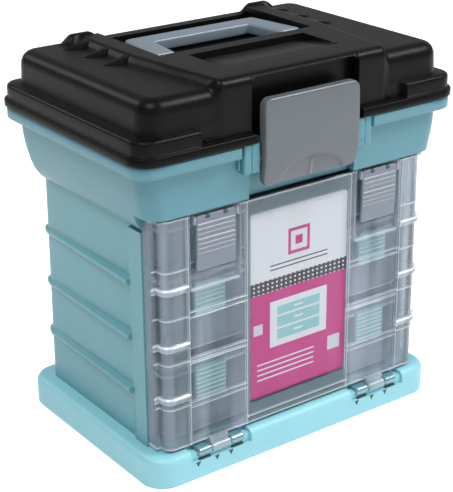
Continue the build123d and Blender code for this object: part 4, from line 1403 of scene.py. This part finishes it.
    def build(self, finishes: Finishes) -> None:
        """Make the lid, the short bars on its front, its hinge knuckles and its gussets."""
        black = finishes.black
        self.shell().build("lid_shell", "lid", black, ["lid"], "black_plastic", 40.0)
        trim = Skin()
        for side in Side:
            trim.block(side.span(*self.bar), (self.pilaster, self.bar_back), self.bar_levels, 0.7)
            trim.rod(*side.span(*self.knuckle), *LID_HINGE, self.knuckle_radius)
            for place in self.gussets:
                trim.grid(self.gusset(side, place), wrap=True)
        trim.build("lid_trim", "lid", black, [], "black_plastic")


@dataclass
class Handle:
    """Carry handle: a rounded section carried along a U with square shoulders."""

    low: float = 336.0
    top: float = 347.5
    tip: float = -1.5
    outer_tip: float = 80.2
    inner_tip: float = 57.0
    outer_half: float = 71.4
    inner_half: float = 52.0
    back: float = 60.0
    front: float = 40.0
    outer_round: float = 5.0
    inner_round: float = 2.0
    power: float = 0.4
    taper: float = 2.2
    stub: Pair = (60.0, 83.2)
    stub_radius: float = 2.5
    pivot: Pair = (4.25, 341.75)

    def edge(self, tip: float, half: float, back: float, radius: float) -> Points:
        """One edge of the U: a straight leg, a quarter circle and the grip, on both sides.

        Args:
            tip: X at the leg's tip.
            half: X at the leg's shoulder.
            back: Y of the grip's edge.
            radius: Radius of the shoulder.

        Returns:
            Points of shape (samples, 2).
        """
        share = np.array([0.0, 0.005, 0.02, 0.05, 0.1, 0.3, 0.6, 0.85, 0.97])[:, None]
        leg = np.array([[tip, self.tip]]) * (1 - share) + np.array([[half, back - radius]]) * share
        turn = np.linspace(0, math.pi / 2, 7)
        centre = np.array([half - radius, back - radius])
        arc = centre + radius * np.column_stack([np.cos(turn), np.sin(turn)])
        grip = np.column_stack([np.linspace(half - radius, 0, 5)[1:], np.full(4, back)])
        right = np.concatenate([leg, arc, grip])
        return np.concatenate([right, right[-2::-1] * np.array((-1.0, 1.0))])

    def shell(self) -> Skin:
        """Closed handle: a squared oval between both edges, slimmer at the very tips.

        Its section is (sign(cos t) |cos t|^p, sign(sin t) |sin t|^p) times the half-sizes.
        """
        outer = self.edge(self.outer_tip, self.outer_half, self.back, self.outer_round)[:, None]
        inner = self.edge(self.inner_tip, self.inner_half, self.front, self.inner_round)[:, None]
        around = np.linspace(0, 2 * math.pi, 36, endpoint=False)
        a, b = (np.sign(wave) * np.abs(wave) ** self.power for wave in (np.cos(around), np.sin(around)))
        plan = (outer + inner) / 2 + (outer - inner) / 2 * a[None, :, None]
        thick = (self.top - self.low) / 2
        from_tip = np.minimum((outer[:, :, 1] - self.tip) * self.taper, thick)
        slim = np.sqrt(np.clip(1 - (1 - from_tip / thick) ** 2, 0.0, 1.0))
        skin = Skin()
        skin.grid(np.dstack([plan, (self.top + self.low) / 2 + thick * slim * b]), wrap=True)
        return skin

    def build(self, finishes: Finishes) -> None:
        """Make the handle and its stubs."""
        skin = self.shell()
        for side in Side:
            skin.rod(*side.span(*self.stub), *self.pivot, self.stub_radius)
        skin.build("carry_handle_shell", "handle", finishes.handle, ["carry_handle"], "grey_plastic", 60.0)


@dataclass
class FrontLatch:
    """Front latch: a thick plate whose foot curves back, with a fan-shaped thumb scoop."""

    half: float = 50.0
    low: float = 255.0
    high: float = 330.0
    front: float = 118.5
    back: float = 109.2
    corner: float = 7.0
    edge: float = 1.9
    bend: float = 30.0
    foot_top: float = 285.0
    foot_back: float = 4.2
    head_low: float = 300.0
    head_back: float = 1.2
    fan_half: float = 34.0
    fan_top: float = 275.0
    sink: float = 2.8
    ridge: float = 0.9
    catch: tuple[Pair, Pair, Pair] = ((-40.0, 40.0), (-110.0, -103.9), (318.0, 322.0))
    stub: Pair = (46.0, 59.5)
    stub_radius: float = 2.5
    pivot: Pair = (-109.6, 280.0)

    def relief(self, x: Points, z: Points) -> Points:
        """Height added to the front face.

        The foot and the head fall back with the square of the distance past their edges. The
        fan is sunk below an arch sqrt(1 - (x / half)^2), deepest beside the low ridge on its
        centre line.
        """
        foot = self.foot_back * np.clip((self.foot_top - z) / self.bend, 0, 1) ** 2
        head = self.head_back * np.clip((z - self.head_low) / self.bend, 0, 1) ** 2
        arch = np.sqrt(np.clip(1 - (x / self.fan_half) ** 2, 0, 1))
        edge = self.low + (self.fan_top - self.low) * arch
        depth = smooth(0.0, 1.6, edge - z) * (1 - 0.6 * np.abs(x) / self.fan_half)
        ridge = self.ridge * bell(x, 1.6) * smooth(2.0, 8.0, edge - z)
        return ridge - foot - head - self.sink * depth

    def build(self, finishes: Finishes) -> None:
        """Make the latch, its catch and its stubs."""
        columns = mirrored(tuple(np.linspace(0, 36, 25)) + (40.0, 43.0))
        rows = tuple(np.linspace(262.0, 290.0, 36)) + (296.0, 304.0, 312.0, 318.0, 323.0)
        plan, skin = Plan(columns, rows, 2, 4), Skin()
        box = (-self.half, self.half, self.low, self.high)
        levels, edges = (self.back, self.front), (0.8, self.edge)
        skin.pad(plan, box, self.corner, levels, edges, facing, self.relief, 6)
        skin.block(*self.catch)
        for side in Side:
            skin.rod(*side.span(*self.stub), *self.pivot, self.stub_radius)
        grey = finishes.grey
        skin.build("front_latch_plate", "front_latch", grey, ["front_latch"], "grey_plastic", 30.0)


@dataclass
class DoorLatch:
    """Finger latch in the door: ribbed upper part and smooth foot."""

    centre: float = 89.0
    half: float = 20.0
    low: float = 191.0
    high: float = 240.0
    back: float = 98.4
    front: float = 103.0
    ribs: int = 7
    pitch: float = 4.3
    rise: float = 0.2
    foot: Pair = (208.0, 193.0)
    pivot: Pair = (-101.2, 237.1)
    stub_half: float = 22.0
    stub_radius: float = 1.5
    slot_centre: float = 9.0
    slot_half: float = 2.0
    slot_radius: float = 2.2
    slot: Pair = (-101.6, 237.9)

    def relief(self, x: Points, z: Points) -> Points:
        """Ledges over the upper part, and a foot that leans back."""
        step, inside = Ledges(self.high - 2.5, self.pitch, self.ribs, self.rise).step(z)
        inside = inside & (np.abs(np.abs(x) - self.centre) < self.half - 1.0)
        return np.where(inside, 0.9 * step - 0.4, 0.0) - 0.9 * smooth(*self.foot, z)

    def build(self, side: Side, finishes: Finishes) -> None:
        """Make one latch on its two stubs, with two dark rods of painted shadow in the slots of its top
        edge.
        """
        middle = side.value * self.centre
        rows = tuple(np.linspace(195.0, 236.4, 91))
        columns = tuple(middle + step for step in (-17.0, 0.0, 17.0))
        plan, skin, shadow_slots = Plan(columns, rows, 1, 3), Skin(), Skin()
        box = (middle - self.half, middle + self.half, self.low, self.high)
        skin.pad(plan, box, 2.4, (self.back, self.front), (2.4, 1.2), facing, self.relief, 4)
        skin.rod(middle - self.stub_half, middle + self.stub_half, *self.pivot, self.stub_radius)
        for way in Side:
            # Dark rods in the two slots: painted shadow.
            place = middle + way.value * self.slot_centre
            shadow_slots.rod(place - self.slot_half, place + self.slot_half, *self.slot, self.slot_radius)
        name = f"door_latch_{side.name.lower()}"
        shadow_slots.build(f"{name}_slots", name, finishes.painted_shadow, [], "grey_plastic")
        skin.build(f"{name}_plate", name, finishes.door_grey, [name], "grey_plastic", 30.0)


@dataclass
class Door:
    """Clear door: a U-shaped plan carried up its height, with beads, lines and latch pockets.

    Attributes:
        beads: Heights of the thick beads round the columns.
        lines: Heights of the paired lines across the windows.
        column_lines: Heights of the thin lines round the columns.
        panel: Distance of the middle panel's ribs from the middle.
        column: Distance of the columns' ribs from the middle.
        sill: Height of the line under the card.
        pocket: Inner and outer edge of the latch pockets.
    """

    low: float = 31.0
    high: float = 241.0
    front: float = -101.0
    half: float = 141.0
    rim_half: float = 146.0
    rim_front: float = -90.0
    back: float = -78.2
    corner: float = 8.0
    wall: float = 2.2
    beads: tuple[float, ...] = (78.0, 127.0, 178.5)
    lines: tuple[float, ...] = (69.5, 111.0, 153.5)
    column_lines: tuple[float, ...] = (70.0, 112.0, 153.0, 196.0)
    panel: float = 57.0
    column: float = 117.0
    sill: float = 38.2
    pocket: Pair = (64.0, 114.0)
    pocket_low: float = 175.0
    pocket_depth: float = 3.0
    latch_centre: float = 89.0
    roof_half: float = 143.0
    roof: Pair = (-98.6, -78.2)
    lip_half: float = 138.0
    lip: Pair = (-98.8, -96.9)
    ear: Pair = (20.3, 22.9)
    ear_depth: Pair = (-103.4, -98.0)
    ear_levels: Pair = (233.0, 240.4)
    clip_half: float = 9.5
    clip_radius: float = 4.5
    clip_back: float = -98.9
    clip_low: float = 26.8

    def levels(self) -> Points:
        """Heights of the rows, close together at beads, lines, pockets and edges."""
        low, high, pocket = self.low, self.high, self.pocket_low
        places = [low, low + 0.8, low + 2.2, 36.2, 37.2, self.sill, 39.2, 40.2, 60.0, 90.0, 100.0, 140.0,
                  165.0, 200.0, 220.0, high - 2.2, high - 0.8, high,
                  pocket - 1.8, pocket - 0.4, pocket + 0.4]
        groups = (
            (self.beads, (-3.4, -2.8, -2.2, -1.2, 0.0, 1.2, 2.2, 2.8, 3.4)),
            (self.lines, (-4.0, -3.2, -2.4, -1.6, -0.8, 0.8, 1.6, 2.4, 3.2, 4.0)),
            (self.column_lines, (-1.1, -0.4, 0.4, 1.1)),
        )
        places += [place + step for group, steps in groups for place in group for step in steps]
        return np.unique(np.round(places, 3))

    def path(self) -> tuple[Points, Points]:
        """Outer plan of the door and its outward directions, from the left rim to the right."""
        inner, outer = self.pocket
        front = [0.0, 20.0, 40.0, 54.5, 55.4, 56.2, self.panel, 57.8, 58.6, 59.5, inner - 1.6, inner - 0.4,
                 inner + 0.4, inner + 1.6, 80.0, 98.0, outer - 1.6, outer - 0.4, outer + 0.4, 115.4, 116.2,
                 self.column, 117.8, 118.6, 119.6, 124.0, 128.0]
        turn = np.linspace(0, math.pi / 2, 9)
        out = np.column_stack([np.sin(turn), -np.cos(turn)])
        arc = np.array([self.half - self.corner, self.front + self.corner]) + self.corner * out
        rim, edge = self.rim_half, self.rim_front
        side = [(self.half, edge - 1.2), (self.half, edge - 0.3), (rim, edge), (rim, edge + 2.0),
                (rim, self.back)]
        side_out = [(1.0, 0.0), (0.9, -0.4), (0.7, -0.7), (1.0, 0.0), (1.0, 0.0)]
        line = np.column_stack([front, np.full(len(front), self.front)])
        line_out = np.tile((0.0, -1.0), (len(front), 1))
        right = np.concatenate([line, arc, side])
        right_out = np.concatenate([line_out, out, side_out])
        flip = np.array((-1.0, 1.0))
        whole = np.concatenate([right[:0:-1] * flip, right])
        return whole, np.concatenate([right_out[:0:-1] * flip, right_out])

    def relief(self, line: Points, z: Points) -> tuple[Points, Points]:
        """Outward relief and mark of painted highlight at each point of the wall.

        Beads are half circles round the columns, ribs are narrow bells at fixed X, window
        lines are pairs of narrow bells at fixed Z, and the pockets are sunk.

        Args:
            line: Plan points of the path, shape (columns, 2).
            z: Heights, shape (rows, 1).

        Returns:
            Relief and mark of painted highlight, both of shape (rows, columns).
        """
        x, y = np.abs(line[:, 0]), line[:, 1]
        inner, outer = self.pocket
        column = ((x > self.column + 0.5) & (y < -89)).astype(float)
        window = ((x > self.panel + 0.5) & (x < self.column - 0.5)).astype(float)
        bead = sum(np.sqrt(np.clip(1 - ((z - level) / 2.9) ** 2, 0, 1)) for level in self.beads)
        bead_edge = sum(bell(np.abs(z - level) - 2.5, 0.55) for level in self.beads)
        thin = sum(bell(z - level, 0.7) for level in self.column_lines)
        pair = sum(bell(np.abs(z - level) - 2.4, 0.6) for level in self.lines)
        rib = bell(x - self.panel, 0.7) + bell(x - self.column, 0.7)
        sill = bell(z - self.sill, 0.9) * (x < self.panel)
        upper = z > self.pocket_low
        across = (x > inner) & (x < outer)
        relief = 2.7 * bead * column + 1.2 * rib + 1.0 * sill + 0.5 * thin * column
        sunk = across & (y < -100) & upper
        relief = np.where(sunk, -self.pocket_depth, relief + 0.9 * pair * window)
        # Mark of painted highlight: it whitens the beads' edges, thin lines, ribs, window lines, side rim,
        # sill, the door's top and bottom edges and the pocket's edges.
        rim = ((x > 143) & (y > -90.5)) * 0.10
        edge = bell(z - self.low, 1.2) + bell(z - self.high, 1.0)
        near = bell(z - self.pocket_low, 0.8) * across
        walls = (bell(x - inner, 0.6) + bell(x - outer, 0.6)) * upper
        mark = (0.25 * bead + bead_edge + 0.7 * thin) * column + 0.75 * rib + 0.7 * pair * window + rim
        return relief, np.clip(mark + 0.8 * edge + 0.7 * near + 0.6 * walls + 0.7 * sill, 0, 1)

    def shell(self) -> Skin:
        """Closed wall of the door between its outer and its inner surface."""
        skin = Skin()
        line, outward = self.path()
        z = self.levels()[:, None]
        relief, mark = self.relief(line, z)
        outer, inner = (
            upright(line[:, 0] + outward[:, 0] * reach, line[:, 1] + outward[:, 1] * reach, z)
            for reach in (relief, np.minimum(relief, 0.0) - self.wall)
        )
        loop = np.concatenate([outer, inner[:, ::-1]], axis=1)
        skin.grid(loop, wrap=True, mark=np.concatenate([mark, mark[:, ::-1]], axis=1))
        for row in (0, -1):
            # The end faces get a painted highlight.
            skin.grid(np.stack([outer[row], inner[row]]), mark=np.full((2, 1), 0.8))
        return skin

    def build(self, finishes: Finishes) -> None:
        """Make the door with its top wall, lip, ears and hinge clips."""
        clear = finishes.door
        self.shell().build("front_door_pane", "door", clear, ["front_door"], "clear_door", 40.0)
        trim = Skin()
        # The top wall and the lip get a painted highlight, paler on the lip.
        trim.tone = 0.15
        trim.block(mirrored((self.roof_half,)), self.roof, (self.high - self.wall, self.high), 0.4)
        trim.tone = 0.4
        trim.block(mirrored((self.lip_half,)), self.lip, (self.low, self.low + self.wall), 0.4)
        for side in Side:
            for end in Side:
                low, high = end.span(*self.ear)
                middle = side.value * self.latch_centre
                trim.block((middle + low, middle + high), self.ear_depth, self.ear_levels, 0.4)
            hinge = side.value * DOOR_HINGE_CENTRE
            x = hinge - self.clip_half, hinge + self.clip_half
            trim.rod(*x, *DOOR_HINGE, self.clip_radius, 0.8)
            trim.block(x, (DOOR_HINGE[0], self.clip_back), (self.clip_low, self.low + 2.0), 0.5)
        trim.build("front_door_trim", "door", clear, [], "clear_door")


@dataclass
class Card:
    """Printed card behind the middle of the door."""

    box: Box = (-53.0, 56.0, 50.0, 227.0)
    corner: float = 6.0
    levels: Pair = (98.1, 98.5)
    rim: float = 0.1
    bend: float = 0.1

    def bow(self, x: Points, z: Points) -> Points:
        """Height -d (1 - s^2) by the distance s from the middle, as a share of the half-width."""
        middle, half = (self.box[0] + self.box[1]) / 2, (self.box[1] - self.box[0]) / 2
        return -self.bend * (1 - ((x - middle) / half) ** 2)

    def build(self, finishes: Finishes) -> None:
        """Make the card, bowed by a tenth of a millimetre."""
        plan = Plan(tuple(np.linspace(-40.0, 43.0, 12)), tuple(np.linspace(62.0, 215.0, 16)), 1, 4)
        skin = Skin()
        skin.pad(plan, self.box, self.corner, self.levels, (self.rim, self.rim), facing, self.bow, 2)
        skin.build("label_card_print", "door", finishes.card, ["label_card"], "printed_card")


class Level(Enum):
    """Places of the organiser boxes in the rack, from the lowest, with their heights."""

    BOTTOM = (34.0, 70.0)
    MIDDLE = (113.0, 70.0)
    TOP = (192.0, 44.5)


@dataclass
class OrganiserBox:
    """Clear organiser box: a flanged tray, a cap and two ribbed latches.

    Attributes:
        level: Place of the box in the rack.
        body: Half-width, front and back of the box.
        flange: The same of its flange.
    """

    level: Level
    body: tuple[float, float, float] = (131.0, -88.0, 90.0)
    flange: tuple[float, float, float] = (136.0, -91.0, 92.0)
    wall: float = 1.8
    corner: float = 8.5
    cap: float = 8.0
    latch_centre: float = 90.5
    latch_half: float = 16.0
    latch_height: float = 32.5
    latch_rise: float = 2.5
    latch_levels: Pair = (91.0, 95.0)
    ribs: int = 7
    ledge: float = 0.8

    def _closed(self, rings: Sequence[tuple[bool, float, float, float]]) -> Skin:
        """Closed shell through rings.

        Args:
            rings: Whether a ring follows the flange, its inset, its height and its mark of painted
                highlight.
        """
        plan, skin = Plan((-80.0, 0.0, 80.0), (-50.0, 0.0, 50.0), 1, 3), Skin()
        outlines = []
        for wide, inset, z, _ in rings:
            half, front, back = self.flange if wide else self.body
            box = (inset - half, half - inset, front + inset, back - inset)
            outlines.append((box, self.corner - inset, z))
        loops = np.array([plan.level(*outline) for outline in outlines])
        skin.grid(loops, wrap=True, mark=np.array([[ring[3]] for ring in rings]))
        for outline in (outlines[0], outlines[-1]):
            skin.grid(plan.deck(*outline))
        return skin

    def tray(self) -> Skin:
        """Tray: inner floor and wall, flange, outer wall and bottom."""
        low, height = self.level.value
        top = low + height - self.cap
        # Ring marks whiten the tray's rims and flange edges as painted highlight.
        return self._closed([
            (False, self.wall, low + self.wall, 0.0), (False, self.wall, top - 0.6, 0.2),
            (False, self.wall, top, 0.8), (True, 0.0, top, 0.95), (True, 0.0, top - 2.0, 0.95),
            (False, 0.0, top - 2.0, 0.5), (False, 0.0, top - 3.4, 0.0), (False, 0.0, low + 3.2, 0.0),
            (False, 0.0, low + 1.2, 0.7), (False, 1.0, low, 0.5),
        ])

    def lid(self) -> Skin:
        """Cap: inner ceiling and wall, rim, outer wall and chamfered top."""
        top = sum(self.level.value)
        low = top - self.cap
        # Ring marks whiten the cap's rims and edges as painted highlight.
        return self._closed([
            (True, self.wall, top - self.wall, 0.0), (True, self.wall, low, 0.6), (True, 0.2, low, 0.95),
            (True, 0.0, low + 0.8, 0.9), (True, 0.0, low + 1.6, 0.1), (True, 0.0, top - 3.0, 0.1),
            (True, 0.0, top - 1.8, 0.8), (True, 1.8, top, 0.9), (True, 4.0, top, 0.0),
        ])

    def latch_top(self) -> float:
        """Height of the latches' upper edge."""
        return sum(self.level.value) - self.cap + self.latch_rise

    def ledges(self) -> Ledges:
        """Row of ledges down a latch."""
        pitch = (self.latch_height - 2 * self.wall) / self.ribs
        return Ledges(self.latch_top() - self.wall, pitch, self.ribs, 0.25)

    def ribbed(self, x: Points, z: Points) -> Points:
        """Relief of a latch: its face is sunk by a ledge's height, and the ledges rise from it."""
        step, inside = self.ledges().step(z)
        inside = inside & (np.abs(np.abs(x) - self.latch_centre) < self.latch_half - 1.0)
        return np.where(inside, self.ledge * step - self.ledge, -self.ledge)

    def crests(self, x: Points, z: Points) -> Points:
        """Mark of painted highlight on a latch: 1 on the ledges' crests, which fades evenly over a fifth of
        a ledge.
        """
        part, inside = self.ledges().part(z)
        return np.clip(1 - np.abs(part - 0.22) / 0.2, 0, 1) * inside

    def latch(self, side: Side) -> Skin:
        """Ribbed latch over the front."""
        top, middle = self.latch_top(), side.value * self.latch_centre
        rows = tuple(np.linspace(top - self.latch_height + 3.0, top - 2.6, 56))
        columns = tuple(middle + step for step in (-13.5, 0.0, 13.5))
        box = (middle - self.latch_half, middle + self.latch_half, top - self.latch_height, top)
        plan, skin = Plan(columns, rows, 1, 2), Skin()
        skin.pad(plan, box, 1.8, self.latch_levels, (0.3, 0.6), facing, self.ribbed, 2, self.crests)
        return skin

    def build(self, finishes: Finishes) -> None:
        """Make the tray, the cap and both latches, which all ride on the box."""
        name, clear = f"{self.level.name.lower()}_box", finishes.box
        self.tray().build(f"{name}_tray_shell", name, clear, [f"{name}_tray"], "clear_box", 35.0)
        self.lid().build(f"{name}_lid_cap", name, clear, [f"{name}_lid"], "clear_box", 35.0)
        for side in Side:
            node, teal = f"{name}_latch_{side.name.lower()}", finishes.box_latch
            self.latch(side).build(f"{node}_plate", name, teal, [node], "teal_plastic", 30.0)


@dataclass(frozen=True)
class Lamp:
    """Square area lamp.

    Attributes:
        name: Name of the lamp.
        place: Its place in metres.
        aim: Point that it faces, in metres.
        size: Side of the square in metres.
        power: Power in watts.
    """

    name: str
    place: tuple[float, float, float]
    aim: tuple[float, float, float]
    size: float
    power: float

    def build(self) -> None:
        """Make the lamp and turn it to its aim."""
        data = bpy.data.lights.new(self.name, "AREA")
        data.size = self.size
        data.energy = self.power
        lamp = bpy.data.objects.new(self.name, data)
        lamp.location = self.place
        lamp.rotation_euler = (Vector(self.aim) - Vector(self.place)).to_track_quat("-Z", "Y").to_euler()
        bpy.context.scene.collection.objects.link(lamp)


@dataclass
class Studio:
    """Camera, soft lamps, pale floor and white surroundings."""

    azimuth: float = -36.065
    elevation: float = 22.667
    roll: float = -0.494
    distance: float = 1291.887
    shift: tuple[float, float] = (-3.591, 152.928)
    lens: float = 1395.154 * 36.0 / 492.0
    ambient: float = 0.35
    lift: float = 0.66
    floor_half: float = 8.0
    lamps: tuple[Lamp, ...] = (
        Lamp("key", (1.15, -0.95, 1.80), (0.0, 0.0, 0.2), 0.8, 34.0),
        Lamp("front", (0.1, -2.2, 0.8), (0.0, 0.0, 0.2), 1.6, 6.0),
        Lamp("left", (-1.0, -0.6, 2.1), (-0.4, -0.1, 0.0), 0.8, 26.0),
        Lamp("rim", (-0.85, 1.60, 1.35), (0.0, 0.0, 0.3), 0.6, 6.0),
    )

    def camera(self) -> None:
        """Place the camera by its two angles, its roll and its distance from the aim."""
        a, e, r = (math.radians(angle) for angle in (self.azimuth, self.elevation, self.roll))
        back = Vector((math.sin(a) * math.cos(e), -math.cos(a) * math.cos(e), math.sin(e)))
        right = Vector((math.cos(a), math.sin(a), 0.0))
        up = back.cross(right)
        place = right * self.shift[0] + Vector((0, 0, self.shift[1])) + back * self.distance
        right, up = right * math.cos(r) + up * math.sin(r), up * math.cos(r) - right * math.sin(r)
        data = bpy.data.cameras.new("camera")
        data.sensor_fit = "VERTICAL"
        data.sensor_width = data.sensor_height = 36.0
        data.lens = self.lens
        data.clip_end = 50.0
        camera = bpy.data.objects.new("camera", data)
        turn = Matrix((right, up, back)).transposed().to_4x4()
        camera.matrix_world = Matrix.Translation(place * MM) @ turn
        bpy.context.scene.collection.objects.link(camera)
        bpy.context.scene.camera = camera

    def world(self) -> None:
        """Surroundings that are white to the camera and through clear parts, else a soft light."""
        world = bpy.data.worlds.new("studio")
        bpy.context.scene.world = world
        recipe = Recipe("studio", world)
        seen = recipe.seen_by("Is Camera Ray", "Is Transmission Ray")
        white = recipe.node("ShaderNodeBackground", inputs={0: (1.0, 1.0, 1.0, 1.0)})
        lit = recipe.node("ShaderNodeBackground", inputs={0: (0.96, 0.98, 1.0, 1.0), 1: self.ambient})
        mix = recipe.node("ShaderNodeMixShader", inputs={0: seen, 1: lit.outputs[0], 2: white.outputs[0]})
        recipe.node("ShaderNodeOutputWorld", inputs={0: mix.outputs[0]})

    def floor(self) -> None:
        """Plain pale floor, lifted to white for the camera, which keeps the rack's shadow."""
        mesh = bpy.data.meshes.new("floor")
        half = self.floor_half
        corners = [(-half, -half, 0), (half, -half, 0), (half, half, 0), (-half, half, 0)]
        mesh.from_pydata(corners, [], [(0, 1, 2, 3)])
        floor = bpy.data.objects.new("floor", mesh)
        bpy.context.scene.collection.objects.link(floor)
        recipe = Recipe("pale_floor")
        seen = recipe.seen_by("Is Camera Ray", "Is Glossy Ray", "Is Transmission Ray")
        mesh.materials.append(recipe.plastic({
            "Base Color": (0.93, 0.93, 0.93, 1.0),
            "Roughness": 0.9,
            "Specular IOR Level": 0.1,
            "Emission Color": recipe.blend(seen, (0.0, 0.0, 0.0), (self.lift,) * 3),
            "Emission Strength": 1.0,
        }))

    def build(self) -> None:
        """Set up the camera, lamps, world and floor."""
        self.camera()
        for lamp in self.lamps:
            lamp.build()
        self.world()
        self.floor()
        bpy.context.scene.view_settings.view_transform = "Standard"


def dress_nodes(finishes: Finishes) -> None:
    """Give every CAD node a finish, by the kind of piece it is."""
    kinds = {"latch": finishes.box_latch, "tray": finishes.box, "lid": finishes.box,
             "dividers": finishes.box}
    others = {"base_plinth": finishes.lit_base_teal, "cabinet_shell": finishes.teal, "top_tray": finishes.teal,
              "lid_hinge_pins": finishes.steel, "lid": finishes.black, "carry_handle": finishes.handle,
              "front_latch": finishes.grey, "front_door": finishes.door, "label_card": finishes.card,
              "door_latch_left": finishes.door_grey, "door_latch_right": finishes.door_grey}
    for name, node in frame["nodes"].items():
        material = others.get(name)
        if material is None:
            material = next(finish for kind, finish in kinds.items() if kind in name.split("box_")[1])
        for slot in node.material_slots:
            slot.material = material
        log.info("%s dressed in %s", name, material.name)


def main() -> None:
    """Build the studio and every sub-assembly, in order."""
    Studio().build()
    finishes = Finishes()
    dress_nodes(finishes)
    for assembly in (Base(), Cabinet(), Collar(), Lid(), Handle(), FrontLatch(), Door(), Card()):
        assembly.build(finishes)
    for side in Side:
        DoorLatch().build(side, finishes)
    for level in Level:
        OrganiserBox(level).build(finishes)


if __name__ == "__main__":
    main()
